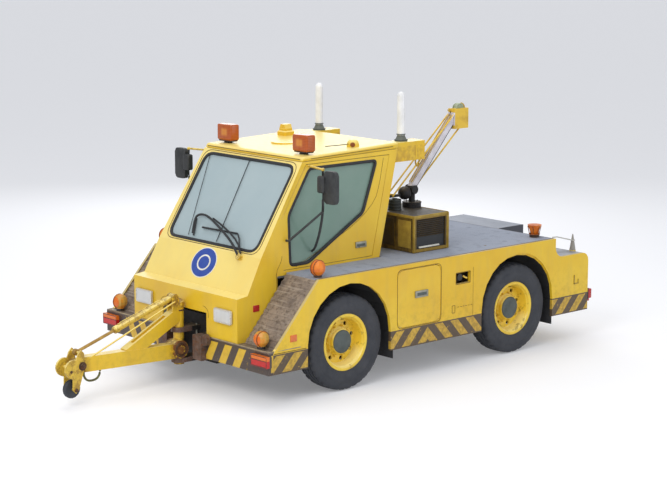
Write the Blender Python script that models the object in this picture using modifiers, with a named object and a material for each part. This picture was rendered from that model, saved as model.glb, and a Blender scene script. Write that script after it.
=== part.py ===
"""Aircraft pushback tractor with a swinging nose tow arm and a slewing deck hoist.

Metres, +Z up. The vehicle faces -Y and its left side is +X. Sizes along Y are measured from the
front axle; one empty then moves the whole vehicle so that the origin lies under its middle.
"""
import math

import bmesh
import bpy
from mathutils import Matrix, Vector

# Clearances shared by the whole vehicle
SEAT_GAP = 0.0003
TURN_FIT = 0.0005
SWING_GAP = 0.006
CUT_OVERRUN = 0.05

# Wheels
WHEELBASE = 2.613
TYRE_RADIUS = 0.525
TYRE_WIDTH = 0.28
WHEEL_FACE_X = 1.403
RIM_SEAT_RADIUS = 0.288
RIM_FLANGE_RADIUS = 0.312
RIM_FLANGE_WIDTH = 0.012
BEAD_WIDTH = 0.20
RIM_WALL = 0.022
DISC_RADIUS = 0.235
DISC_SETBACK = 0.02
DISC_THICKNESS = 0.025
HUB_RADIUS = 0.135
HUB_REACH = 0.09
HUB_CHAMFER = 0.02
HUB_TAIL = 0.11
HAND_HOLE_RADIUS = 0.03
HAND_HOLE_PITCH = 0.195
HAND_HOLE_COUNT = 6
HAND_HOLE_SHARE = 0.3
STUB_RADIUS = 0.045
WHEEL_SEGMENTS = 24
STUB_SEGMENTS = 16

# Body skins and wheel arches
BODY_HALF = 1.443
SKIN_THICKNESS = 0.035
DECK_HEIGHT = 1.278
DECK_THICKNESS = 0.03
SKIRT_HEIGHT = 0.352
PLATFORM_HEIGHT = 0.60
FRONT_SKIN_Y = -1.07
RAMP_FOOT_Y = -1.05
DECK_FRONT_Y = -0.44
REAR_OVERHANG = 1.227
TAIL_Y = WHEELBASE + REAR_OVERHANG
TAIL_LENGTH = 0.584
TAIL_FRONT_Y = TAIL_Y - TAIL_LENGTH
TAIL_STEP = 0.006
ARCH_RADIUS = 0.597
ARCH_HEIGHT = 0.585
LINER_RADIUS = 0.615
STEER_LINER_RADIUS = 0.645
LINER_HEIGHT = 0.545
LINER_THICKNESS = 0.02
LINER_INNER_X = 0.78
LINER_WALL_LOW = 0.70
ARCH_STEPS = 12

# Shelf and rear corner of the tail
SHELF_HEIGHT = 1.05
SHELF_CORNER = 0.10
SHELF_WALL_RADIUS = 0.12
TONGUE_HALF = 0.51
TONGUE_INSET = 0.14
TONGUE_Y = TAIL_Y - TONGUE_INSET
TAIL_LAMP_WIDTH = 0.22
TAIL_LAMP_HEIGHT = 0.12
TAIL_LAMP_DEPTH = 0.07
TAIL_LAMP_LOW = 0.44
SPIKE_INSET = 0.193
SPIKE_REAR_INSET = 0.07
SPIKE_Y = TAIL_Y - SPIKE_REAR_INSET
SPIKE_RADIUS = 0.045
SPIKE_HEIGHT = 0.20
FLAP_INNER_X = 1.125
FLAP_THICKNESS = 0.012
FLAP_LOW = 0.25
FLAP_HIGH = 0.54

# Access doors in the skirts
FILLER_LENGTH = 0.22
FILLER_ARCH_GAP = 0.196
FILLER_REAR_Y = WHEELBASE - ARCH_RADIUS - FILLER_ARCH_GAP
FILLER_FRONT_Y = FILLER_REAR_Y - FILLER_LENGTH
BAY_ARCH_GAP = 0.103
BAY_FRONT_Y = ARCH_RADIUS + BAY_ARCH_GAP
BAY_FILLER_GAP = 0.24
BAY_REAR_Y = FILLER_FRONT_Y - BAY_FILLER_GAP
BAY_LOW = 0.575
BAY_HIGH = 1.224
BAY_CORNER = 0.07
FILLER_LOW = 0.955
FILLER_HIGH = 1.078
LATCH_FRONT_SHARE = 13 / 33
LATCH_REAR_SHARE = 15 / 22
LATCH_FRONT_Y = BAY_FRONT_Y + LATCH_FRONT_SHARE * (BAY_REAR_Y - BAY_FRONT_Y)
LATCH_REAR_Y = BAY_FRONT_Y + LATCH_REAR_SHARE * (BAY_REAR_Y - BAY_FRONT_Y)
LATCH_LOW = 0.89
LATCH_HIGH = 0.96
LATCH_DEPTH = 0.012

# Ramps
RAMP_THICKNESS = 0.03
RIB_COUNT = 12
RIB_RISE = 0.012

# Front bumper, with its ball markers and corner lamps
BUMPER_FRONT_Y = -1.13
BUMPER_REAR_Y = -0.705
PLATE_THICKNESS = 0.025
RECESS_HALF = 0.39
BALL_RADIUS = 0.085
BALL_INSET = 0.187
BALL_Y = -1.075
BALL_FOOT_RADIUS = 0.045
BALL_FOOT_HEIGHT = 0.05
CORNER_LAMP_WIDTH = 0.26
CORNER_LAMP_STAND = 0.017
CORNER_LAMP_LOW = 0.44
CORNER_LAMP_HIGH = 0.56
CORNER_LAMP_REACH = 0.045

# Nose
NOSE_HALF = 0.915
NOSE_FRONT_Y = -1.12
NOSE_BACK_Y = -0.56
NOSE_TOP = 1.075
LEDGE_Y = -0.977
LEDGE_TOP = 1.095
COWL_Y = -0.775
COWL_TOP = 1.465
RECESS_TOP = 0.851
RECESS_BACK_Y = -0.95
HEADLAMP_X = 0.70
HEADLAMP_HEIGHT = 0.868
HEADLAMP_WIDTH = 0.28
HEADLAMP_TALL = 0.145
HEADLAMP_REACH = 0.03

# Cab shell, roof and glass
CAB_LOW = 1.25
CAB_WALL = 0.045
CAB_LEAN = 0.052
LEAN_START = 1.10
CAB_REAR_LOW_Y = 0.916
CAB_TOP_FRONT_Y = -0.155
CAB_TOP_REAR_Y = 1.253
CAB_TOP_FRONT = 2.43
CAB_TOP_REAR = 2.455
ROOF_FRONT = 2.482
ROOF_REAR = 2.528
ROOF_CROWN = 0.018
ROOF_EDGE = 0.032
ROOF_REAR_Y = 1.31
ROOF_FRONT_Y = -0.13
GLASS_THICKNESS = 0.010
SCREEN_HALF = 0.765
SCREEN_MARGIN = 0.055
SCREEN_CORNER = 0.07
REAR_GLASS_HALF = 0.56
REAR_GLASS_LOW = 1.62
REAR_GLASS_HIGH = 2.28
REAR_GLASS_CORNER = 0.06

# Cab doors: outlines in the side plane
DOOR_FRONT_Y = -0.47
DOOR_LOW = 1.300
DOOR_HIGH = 2.405
DOOR_BEND = 1.86
DOOR_TOP_FRONT_Y = -0.10
DOOR_REAR_INSET = 0.10
WINDOW_FRONT_Y = -0.375
WINDOW_LOW = 1.345
WINDOW_HIGH = 2.355
WINDOW_BEND = 1.80
WINDOW_BEND_Y = 0.70
WINDOW_TOP_FRONT_Y = -0.055
WINDOW_TOP_REAR_Y = 0.925
WINDOW_LOW_REAR_Y = -0.12
WINDOW_PILLAR = 1.88
DOOR_HINGE_X = 0.905
HANDLE_Y = 0.646
HANDLE_RISE = 0.152
HANDLE_LENGTH = 0.15
HANDLE_TALL = 0.06
HANDLE_DEPTH = 0.015

# Mirrors
MIRROR_X = 1.30
MIRROR_Y = -0.14
MIRROR_HALF = 0.095
MIRROR_DEPTH = 0.05
MIRROR_STEM_X = 1.165
MIRROR_ARM_RADIUS = 0.011
MIRROR_ARM_HEIGHT = 2.385
MIRROR_DROP = 0.005
MIRROR_TALL = 0.35
MIRROR_HIGH = MIRROR_ARM_HEIGHT - MIRROR_DROP
MIRROR_LOW = MIRROR_HIGH - MIRROR_TALL
MIRROR_FOOT_RISE = 0.32
MIRROR_FOOT_HEIGHT = DOOR_LOW + MIRROR_FOOT_RISE
MIRROR_FOOT_Y = -0.42
MIRROR_ROOT_Y = -0.07
MIRROR_ARM_FIT = 0.001

# Cab inside
FLOOR_TOP = 1.0
FLOOR_THICKNESS = 0.04
TUB_HALF = 0.74
TUB_WALL = 0.02
TUB_REAR_Y = 0.87
TUB_FLANGE_HALF = 0.86
FOOT_SIZE = 0.08
FOOT_FRONT_Y = -0.30
FOOT_REAR_Y = 0.62
SEAT_X = 0.40
SEAT_FRONT_Y = 0.02
SEAT_DEPTH = 0.50
SEAT_HALF = 0.24
SEAT_HEIGHT = 1.44
SEAT_CUSHION = 0.12
SEAT_BACK_HEIGHT = 0.62
SEAT_BACK_LEAN = 0.14
SEAT_PLINTH_HALF = 0.17
DASH_TALL = 0.44
DASH_DEPTH = 0.16
DASH_HALF = 0.70
COLUMN_RADIUS = 0.025
STEERING_WHEEL_X = -0.40
STEERING_WHEEL_Y = -0.20
STEERING_WHEEL_RISE = 0.22
STEERING_WHEEL_RADIUS = 0.21
STEERING_RIM_RADIUS = 0.013

# Roof fittings
BEACON_X = 0.655
BEACON_Y = 0.034
BEACON_WIDTH = 0.25
BEACON_DEPTH = 0.13
BEACON_TALL = 0.155
BEACON_STEM_RADIUS = 0.035
BEACON_STEM_HEIGHT = 0.055
VENT_X = -0.154
VENT_Y = 0.465
VENT_RADIUS = 0.17
VENT_HEIGHT = 0.03
HATCH_X = -0.594
HATCH_Y = 0.834
HATCH_HALF = 0.075
HATCH_HEIGHT = 0.055
DOME_X = 0.672
DOME_Y = 0.735
DOME_RADIUS = 0.06
DOME_HEIGHT = 0.05
BRACKET_INNER_X = 0.62
BRACKET_OUTER_X = 0.82
BRACKET_LOW = 2.30
BRACKET_HIGH = 2.515
BRACKET_REAR_Y = 1.70
TUBE_LAMP_X = 0.70
TUBE_LAMP_Y = 1.44
TUBE_LAMP_RADIUS = 0.045
TUBE_LAMP_TOP = 3.07
TUBE_FOOT_RADIUS = 0.075
TUBE_FOOT_HEIGHT = 0.06

# Deck markers
DECK_BALL_INSET = 0.113
DECK_BALL_Y = -0.36
CONE_INSET = 0.243
CONE_REAR_INSET = 0.111
CONE_Y = TAIL_FRONT_Y - CONE_REAR_INSET
CONE_RADIUS = 0.085
CONE_HEIGHT = 0.15
CONE_FOOT_RADIUS = 0.06
CONE_FOOT_HEIGHT = 0.035

# Generator box and hoist
BOX_INNER_X = 0.18
BOX_OUTER_X = 1.03
BOX_FRONT_Y = 1.335
BOX_REAR_Y = 1.875
BOX_TOP = 1.70
BOX_PANEL_DEPTH = 0.02
BOX_PANEL_MARGIN = 0.045
DRUM_X = 0.52
DRUM_Y = 1.52
DRUM_RADIUS = 0.075
DRUM_HEIGHT = 0.12
HOIST_X = 0.50
HOIST_Y = 1.81
TURNTABLE_RADIUS = 0.11
TURNTABLE_HEIGHT = 0.045
MAST_RADIUS = 0.038
MAST_TOP = 1.875
HOIST_HUB_RADIUS = 0.06
HOIST_HUB_Y = 1.68
HOIST_HUB_HEIGHT = 1.87
STAY_FOOT_Y = 1.46
STAY_FOOT_HEIGHT = 1.86
BOOM_FOOT_Y = 1.79
BOOM_FOOT_HEIGHT = 1.92
BOOM_BASE_HALF = 0.045
BOOM_TIP_Y = 2.47
BOOM_TIP_HEIGHT = 2.70
BOOM_HALF = 0.032
BOOM_DEPTH = 0.07
HEAD_FRONT_Y = 2.50
HEAD_REAR_Y = 2.67
HEAD_LOW = 2.555
HEAD_HIGH = 2.79
HEAD_HALF = 0.055
SHEAVE_RADIUS = 0.06
STAY_RADIUS = 0.010
LOWER_STAY_FOOT_Y = 1.84
LOWER_STAY_TIP_Y = 2.60
LOWER_STAY_TIP_HEIGHT = 2.58

# Chassis, axles and steering
RAIL_X = 0.34
RAIL_HALF = 0.04
RAIL_LOW = 0.62
RAIL_HIGH = 0.80
RAIL_FRONT_Y = -0.94
CROSS_HALF = 0.05
HITCH_INNER_X = 0.231
HITCH_OUTER_X = 0.385
HITCH_FRONT_Y = -1.19
HITCH_LOW = 0.33
JAW_X = 0.42
JAW_HEIGHT = 0.565
JAW_RADIUS = 0.065
JAW_REAR_Y = -1.136
AXLE_HALF_SIZE = 0.065
AXLE_END_X = 0.95
DIFF_RADIUS = 0.17
KINGPIN_X = 1.02
KINGPIN_RADIUS = 0.03
KNUCKLE_RADIUS = 0.055
KNUCKLE_HALF = 0.075
YOKE_THICKNESS = 0.03
PAD_HALF_Y = 0.16
ENGINE_HALF = 0.28
ENGINE_FRONT_Y = 0.98
ENGINE_REAR_Y = 1.92
ENGINE_LOW = 0.52
ENGINE_TOP = 1.20
ENGINE_FOOT = 0.04

# Tow arm
POST_Y = -1.20
POST_RADIUS = 0.058
POST_LOW = 0.24
POST_TOP = 0.90
POST_BALL_RADIUS = 0.068
BEAM_HALF = 0.06
BEAM_ROOT_Y = -1.20
BEAM_ROOT_HIGH = 0.475
BEAM_TIP_Y = -2.47
BEAM_TIP_LOW = 0.36
BEAM_TIP_HIGH = 0.52
FOOT_LUG_RADIUS = 0.10
FOOT_LUG_Y = -1.235
FOOT_LUG_HALF = 0.088
FOOT_NUT_RADIUS = 0.05
FOOT_NUT_HALF = 0.105
BRACE_TOP_Y = -1.20
BRACE_TOP_HEIGHT = 0.88
BRACE_FOOT_Y = -1.90
BRACE_FOOT_HEIGHT = 0.45
BRACE_HALF_DEPTH = 0.07
BRACE_WIDTH_SHARE = 0.9
GROOVE_DEPTH_SHARE = 0.4
GROOVE_WIDTH_SHARE = 0.4
ARM_LUG_Y = -1.275
ARM_LUG_HEIGHT = 0.985
ARM_LUG_RADIUS = 0.04
ARM_LUG_THICKNESS = 0.02
ARM_LUG_X = 0.045
TOW_BEARING_RADIUS = 0.085
TOW_BEARING_LOW = 0.262
TOW_BEARING_HIGH = 0.60
TOW_BEARING_TALL = 0.05
BEAM_ROOT_LOW = TOW_BEARING_LOW + TOW_BEARING_TALL + SEAT_GAP
CYLINDER_RADIUS = 0.034
ROD_RADIUS = 0.017
EYE_RADIUS = 0.036
EYE_HALF = 0.022
EYE_PLAY = 0.002
PIN_RADIUS = 0.014
HEAD_PIN_Y = -2.52
HEAD_PIN_HEIGHT = 0.44
TIP_BOSS_RADIUS = 0.065
HEAD_EYE_Y = -2.53
HEAD_EYE_HEIGHT = 0.575
CYLINDER_SHARE = 0.62
CHEEK_RADIUS = 0.10
CHEEK_Y = -2.63
CHEEK_HEIGHT = 0.42
CHEEK_X = 0.083
CHEEK_THICKNESS = 0.018
CHEEK_RISE = 0.004
ROLLER_Y = -2.60
ROLLER_HEIGHT = 0.195
ROLLER_RADIUS = 0.10
ROLLER_WIDTH = 0.06
ROLLER_SEGMENTS = 16

# Middle of the whole length, which becomes the origin
OVERALL_FRONT_Y = CHEEK_Y - CHEEK_RADIUS
OVERALL_REAR_Y = TAIL_Y + TAIL_LAMP_DEPTH
MIDDLE_Y = (OVERALL_FRONT_Y + OVERALL_REAR_Y) / 2

# Fineness of round forms
ROUND_SEGMENTS = 12
BALL_SEGMENTS = 12
BALL_RINGS = 8
THIN_SEGMENTS = 8
HOLE_SEGMENTS = 6
RING_SEGMENTS = 18
WIDE_SEGMENTS = 20
HOUSING_SEGMENTS = 28
CORNER_STEPS = 4
EAR_STEPS = 8

# Shares of other sizes
FRONT_WALL_SHARE = 1.25
SPOKE_SHARE = 0.8
HUB_TAIL_SHARE = 0.7
JAW_PIN_SHARE = 1.5
EYE_SINK_SHARE = 0.6
ROD_START_SHARE = 0.75

# How a flat outline (u, v) lies on the vehicle
SIDE = Matrix(((0, 0, 1, 0), (1, 0, 0, 0), (0, 1, 0, 0), (0, 0, 0, 1)))
PLAN = Matrix.Identity(4)
FRONT = Matrix(((1, 0, 0, 0), (0, 0, -1, 0), (0, 1, 0, 0), (0, 0, 0, 1)))

for old in list(bpy.data.objects):
    bpy.data.objects.remove(old, do_unlink=True)

PARTS = bpy.data.collections.new("pushback_tractor")
CUTTERS = bpy.data.collections.new("cutters")
bpy.context.scene.collection.children.link(PARTS)
bpy.context.scene.collection.children.link(CUTTERS)


def material(name, color, roughness, metallic=0.0):
    made = bpy.data.materials.new(name)
    made.use_nodes = True
    shader = made.node_tree.nodes["Principled BSDF"]
    shader.inputs["Base Color"].default_value = (*color, 1.0)
    shader.inputs["Roughness"].default_value = roughness
    shader.inputs["Metallic"].default_value = metallic
    return made


def empty(name, position, carrier=None):
    """A joint or the whole vehicle; position is measured as the parts are."""
    made = bpy.data.objects.new(name, None)
    PARTS.objects.link(made)
    made["place"] = position
    if carrier:
        made.parent = carrier
        made.location = Vector(position) - Vector(carrier["place"])
    return made


def hang(thing, carrier):
    """Parent a thing whose mesh is in vehicle coordinates without moving it."""
    thing.parent = carrier
    thing.location = Vector(thing.location) - Vector(carrier["place"])


def solid(name, mesh):
    made = bpy.data.objects.new(name, mesh)
    CUTTERS.objects.link(made)
    return made


def from_bmesh(name, bm):
    mesh = bpy.data.meshes.new(name)
    bm.to_mesh(mesh)
    bm.free()
    return solid(name, mesh)


def box(name, low, high):
    size = [high[i] - low[i] for i in range(3)]
    middle = [(high[i] + low[i]) / 2 for i in range(3)]
    bm = bmesh.new()
    bmesh.ops.create_cube(bm, size=1, matrix=Matrix.Translation(middle) @ Matrix.Diagonal((*size, 1)))
    return from_bmesh(name, bm)


def rod(name, start, end, radius, segments=ROUND_SEGMENTS, end_radius=None):
    """A cylinder or cone from start to end."""
    along = Vector(end) - Vector(start)
    turn = along.to_track_quat("Z", "Y").to_matrix().to_4x4()
    place = Matrix.Translation((Vector(start) + Vector(end)) / 2) @ turn
    bm = bmesh.new()
    bmesh.ops.create_cone(bm, cap_ends=True, segments=segments, radius1=radius,
                          radius2=radius if end_radius is None else end_radius,
                          depth=along.length, matrix=place)
    return from_bmesh(name, bm)


def ball(name, centre, radius):
    bm = bmesh.new()
    bmesh.ops.create_uvsphere(bm, u_segments=BALL_SEGMENTS, v_segments=BALL_RINGS, radius=radius,
                              matrix=Matrix.Translation(centre))
    return from_bmesh(name, bm)


def plate(name, outline, low, high, facing, holes=()):
    """A flat outline with holes, drawn as a 2D curve and given its thickness from low to high."""
    curve = bpy.data.curves.new(name, "CURVE")
    curve.dimensions = "2D"
    curve.fill_mode = "BOTH"
    curve.extrude = (high - low) / 2
    for loop in (outline, *holes):
        spline = curve.splines.new("POLY")
        spline.points.add(len(loop) - 1)
        spline.use_cyclic_u = True
        for point, (u, v) in zip(spline.points, loop):
            point.co = (u, v, 0, 1)
    drawn = bpy.data.objects.new(name, curve)
    bpy.context.scene.collection.objects.link(drawn)
    ready = drawn.evaluated_get(bpy.context.evaluated_depsgraph_get())
    mesh = bpy.data.meshes.new_from_object(ready)
    bpy.data.objects.remove(drawn)
    middle = (low + high) / 2
    lift = -middle if facing is FRONT else middle
    bm = bmesh.new()
    bm.from_mesh(mesh)
    bmesh.ops.remove_doubles(bm, verts=bm.verts, dist=0.00001)
    bmesh.ops.transform(bm, verts=bm.verts, matrix=facing @ Matrix.Translation((0, 0, lift)))
    bmesh.ops.recalc_face_normals(bm, faces=bm.faces)
    bpy.data.meshes.remove(mesh)
    return from_bmesh(name, bm)


def tube(name, points, radius):
    """A round bar bent along points, with closed ends."""
    curve = bpy.data.curves.new(name, "CURVE")
    curve.dimensions = "3D"
    curve.bevel_depth = radius
    curve.bevel_resolution = 1
    curve.use_fill_caps = True
    spline = curve.splines.new("POLY")
    spline.points.add(len(points) - 1)
    for point, place in zip(spline.points, points):
        point.co = (*place, 1)
    drawn = bpy.data.objects.new(name, curve)
    bpy.context.scene.collection.objects.link(drawn)
    ready = drawn.evaluated_get(bpy.context.evaluated_depsgraph_get())
    mesh = bpy.data.meshes.new_from_object(ready)
    bpy.data.objects.remove(drawn)
    bm = bmesh.new()
    bm.from_mesh(mesh)
    bmesh.ops.remove_doubles(bm, verts=bm.verts, dist=0.00001)
    bmesh.ops.recalc_face_normals(bm, faces=bm.faces)
    bpy.data.meshes.remove(mesh)
    return from_bmesh(name, bm)


def turned(name, profile, centre, outward, segments):
    """Turn a (radius, along) profile about a line through centre along X; outward is +1 or -1."""
    bm = bmesh.new()
    points = [bm.verts.new((radius, 0, along)) for radius, along in profile]
    for first, second in zip(points, points[1:]):
        bm.edges.new((first, second))
    if profile[0][0] > 0:
        bm.edges.new((points[-1], points[0]))
    made = from_bmesh(name, bm)
    screw = made.modifiers.new("turn", "SCREW")
    screw.steps = segments
    screw.render_steps = segments
    screw.use_merge_vertices = True
    screw.merge_threshold = 0.0001
    made.location = centre
    made.rotation_euler = (0, outward * math.pi / 2, 0)
    return made


def arc(centre, radius, start, end, steps):
    """Points of an arc in degrees."""
    angles = [math.radians(start + (end - start) * i / steps) for i in range(steps + 1)]
    return [(centre[0] + radius * math.cos(a), centre[1] + radius * math.sin(a)) for a in angles]


def circle(centre, radius, segments):
    return arc(centre, radius, 0, 360, segments)[:-1]


def rounded(low, high, radius, steps=2):
    """A rectangle with round corners."""
    corners = ((high[0], high[1], 0), (low[0], high[1], 90), (low[0], low[1], 180), (high[0], low[1], 270))
    points = []
    for x, y, start in corners:
        centre = (x + (radius if x == low[0] else -radius), y + (radius if y == low[1] else -radius))
        points += arc(centre, radius, start, start + 90, steps)
    return points


def combine(base, others, operation):
    for other in others:
        step = base.modifiers.new(other.name, "BOOLEAN")
        step.operation = operation
        step.solver = "EXACT"
        step.object = other
        other.hide_render = True
        other.display_type = "WIRE"
    return base


def unite(base, *others):
    return combine(base, others, "UNION")


def cut(base, *others):
    return combine(base, others, "DIFFERENCE")


def bevel(thing, width, segments=2):
    step = thing.modifiers.new("round", "BEVEL")
    step.width = width
    step.segments = segments
    step.limit_method = "ANGLE"
    return thing


def flatten(thing):
    """Keep the shape that the modifiers make, as a plain mesh."""
    if not thing.modifiers:
        return thing
    bpy.context.view_layer.update()
    ready = thing.evaluated_get(bpy.context.evaluated_depsgraph_get())
    mesh = bpy.data.meshes.new_from_object(ready)
    thing.modifiers.clear()
    bm = bmesh.new()
    bm.from_mesh(mesh)
    bmesh.ops.remove_doubles(bm, verts=bm.verts, dist=0.00002)
    bmesh.ops.dissolve_degenerate(bm, edges=bm.edges, dist=0.00002)
    bm.to_mesh(mesh)
    bm.free()
    thing.data = mesh
    return thing


def lean_in(thing):
    """Lean everything above LEAN_START towards the middle, as the cab sides do."""
    flatten(thing)
    for vertex in thing.data.vertices:
        rise = max(vertex.co.z - LEAN_START, 0)
        vertex.co.x -= math.copysign(CAB_LEAN * rise, vertex.co.x)
    return thing


def finish(thing, paint, carrier, smooth=True):
    """Make a shape one named piece of the vehicle."""
    flatten(thing)
    CUTTERS.objects.unlink(thing)
    PARTS.objects.link(thing)
    thing.data.materials.clear()
    thing.data.materials.append(paint)
    if smooth:
        thing.data.shade_smooth()
        thing.data.set_sharp_from_angle(angle=math.radians(32))
    hang(thing, carrier)
    return thing


def mirrored(thing, name):
    """The right-hand twin of a left-hand piece, before finish."""
    flatten(thing)
    mesh = thing.data.copy()
    mesh.transform(Matrix.Translation(thing.location))
    mesh.transform(Matrix.Diagonal((-1, 1, 1, 1)))
    mesh.flip_normals()
    return solid(name, mesh)


def pair(thing, stem, paint, carriers):
    """Finish a left-hand piece and its mirror image on their two carriers."""
    twin = mirrored(thing, stem + "_right")
    thing.name = stem + "_left"
    finish(thing, paint, carriers[0])
    finish(twin, paint, carriers[1])


YELLOW = material("body_yellow", (0.71, 0.52, 0.07), 0.42)
DECK_GREY = material("deck_grey", (0.30, 0.32, 0.38), 0.75)
TREAD_BROWN = material("tread_brown", (0.20, 0.16, 0.13), 0.85)
RUBBER = material("rubber", (0.035, 0.038, 0.045), 0.8)
FRAME_BLACK = material("frame_black", (0.03, 0.03, 0.032), 0.6)
GLASS = material("glass", (0.45, 0.55, 0.55), 0.08)
CUSHION = material("cushion", (0.05, 0.05, 0.055), 0.8)
LAMP_WHITE = material("lamp_white", (0.8, 0.8, 0.78), 0.25)
AMBER = material("amber", (0.55, 0.12, 0.015), 0.25)
BOX_OCHRE = material("box_ochre", (0.16, 0.09, 0.02), 0.6)
HOIST_GREY = material("hoist_grey", (0.06, 0.06, 0.06), 0.5)
BOOM_WHITE = material("boom_white", (0.65, 0.6, 0.63), 0.45)
STEEL = material("steel", (0.45, 0.45, 0.44), 0.35, 1.0)

SKIN_INNER_X = BODY_HALF - SKIN_THICKNESS
SPIKE_X = BODY_HALF - SPIKE_INSET
BALL_X = BODY_HALF - BALL_INSET
DECK_BALL_X = BODY_HALF - DECK_BALL_INSET
CONE_X = BODY_HALF - CONE_INSET
CORNER_LAMP_OUTER_X = BODY_HALF + CORNER_LAMP_STAND
CORNER_LAMP_INNER_X = CORNER_LAMP_OUTER_X - CORNER_LAMP_WIDTH
HANDLE_HEIGHT = DOOR_LOW + HANDLE_RISE
DASH_HEIGHT = FLOOR_TOP + DASH_TALL
STEERING_WHEEL_HEIGHT = DASH_HEIGHT + STEERING_WHEEL_RISE
WHEEL_MIDDLE_X = WHEEL_FACE_X - TYRE_WIDTH / 2
BORE_RADIUS = (STUB_RADIUS + TURN_FIT) / math.cos(math.pi / STUB_SEGMENTS)


def shelf_curve():
    """Side view of the tail's top: its rear corner, the shelf and the hollow rise to the deck."""
    corner = (TAIL_Y - SHELF_CORNER, SHELF_HEIGHT - SHELF_CORNER)
    hollow = (TAIL_FRONT_Y + SHELF_WALL_RADIUS, SHELF_HEIGHT + SHELF_WALL_RADIUS)
    return (arc(corner, SHELF_CORNER, 0, 90, CORNER_STEPS)
            + arc(hollow, SHELF_WALL_RADIUS, 270, 180, CORNER_STEPS))


def side_skin():
    """Skirt, arches and fender of the left side, with its two wheel housings."""
    rear_axle = WHEELBASE
    outline = [(FRONT_SKIN_Y, SKIRT_HEIGHT), (-ARCH_RADIUS, SKIRT_HEIGHT)]
    outline += arc((0, ARCH_HEIGHT), ARCH_RADIUS, 180, 0, ARCH_STEPS)
    outline += [(ARCH_RADIUS, SKIRT_HEIGHT), (rear_axle - ARCH_RADIUS, SKIRT_HEIGHT)]
    outline += arc((rear_axle, ARCH_HEIGHT), ARCH_RADIUS, 180, 0, ARCH_STEPS)
    outline += [(rear_axle + ARCH_RADIUS, SKIRT_HEIGHT), (TAIL_Y, SKIRT_HEIGHT)]
    outline += shelf_curve()
    outline += [(TAIL_FRONT_Y, DECK_HEIGHT), (DECK_FRONT_Y, DECK_HEIGHT), (RAMP_FOOT_Y, PLATFORM_HEIGHT),
                (FRONT_SKIN_Y, PLATFORM_HEIGHT - RAMP_THICKNESS)]
    bay = rounded((BAY_FRONT_Y, BAY_LOW), (BAY_REAR_Y, BAY_HIGH), BAY_CORNER)
    filler = [(FILLER_FRONT_Y, FILLER_LOW), (FILLER_REAR_Y, FILLER_LOW),
              (FILLER_REAR_Y, FILLER_HIGH), (FILLER_FRONT_Y, FILLER_HIGH)]
    skin = plate("skin", outline, SKIN_INNER_X, BODY_HALF, SIDE, (bay, filler))
    for axle_y, liner in ((0, STEER_LINER_RADIUS), (rear_axle, LINER_RADIUS)):
        centre = (axle_y, LINER_HEIGHT)
        outer = liner + LINER_THICKNESS
        ring = arc(centre, outer, 0, 180, ARCH_STEPS) + arc(centre, liner, 180, 0, ARCH_STEPS)
        tunnel = plate("tunnel", ring, LINER_INNER_X, SKIN_INNER_X + SKIN_THICKNESS / 3, SIDE)
        start = math.degrees(math.asin((LINER_WALL_LOW - LINER_HEIGHT) / liner))
        wall = arc(centre, (liner + outer) / 2, start, 180 - start, ARCH_STEPS)
        end = plate("housing_end", wall, LINER_INNER_X - LINER_THICKNESS, LINER_INNER_X + LINER_THICKNESS / 2,
                    SIDE)
        unite(skin, tunnel, end)
    return skin


def ramp():
    """Sloping tread from the platform to the deck, with a rib along each step."""
    foot = (RAMP_FOOT_Y + RAMP_THICKNESS, PLATFORM_HEIGHT + SEAT_GAP)
    head = (DECK_FRONT_Y - SEAT_GAP, DECK_HEIGHT)
    run = head[0] - foot[0]
    rise = head[1] - foot[1] - RIB_RISE
    outline = [(foot[0] + RAMP_THICKNESS, foot[1]), foot]
    for i in range(RIB_COUNT):
        for share, lift in ((0.25, 0), (0.3, RIB_RISE), (0.7, RIB_RISE), (0.75, 0)):
            part = (i + share) / RIB_COUNT
            outline.append((foot[0] + part * run, foot[1] + part * rise + lift))
    outline += [(head[0], head[1] - RIB_RISE), (head[0], head[1] - DECK_THICKNESS - RAMP_THICKNESS / 2)]
    return plate("ramp", outline, NOSE_HALF + SWING_GAP, SKIN_INNER_X - SEAT_GAP, SIDE)


def access_door():
    """Flush lid of the side bay, with a recessed latch plate."""
    inset = SWING_GAP
    outline = rounded((BAY_FRONT_Y + SEAT_GAP, BAY_LOW + inset), (BAY_REAR_Y - inset, BAY_HIGH - inset),
                      BAY_CORNER)
    lid = plate("lid", outline, SKIN_INNER_X, BODY_HALF, SIDE)
    latch = box("latch", (BODY_HALF - LATCH_DEPTH / 2, LATCH_FRONT_Y, LATCH_LOW),
                (BODY_HALF + LATCH_DEPTH, LATCH_REAR_Y, LATCH_HIGH))
    return unite(lid, latch)


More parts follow.
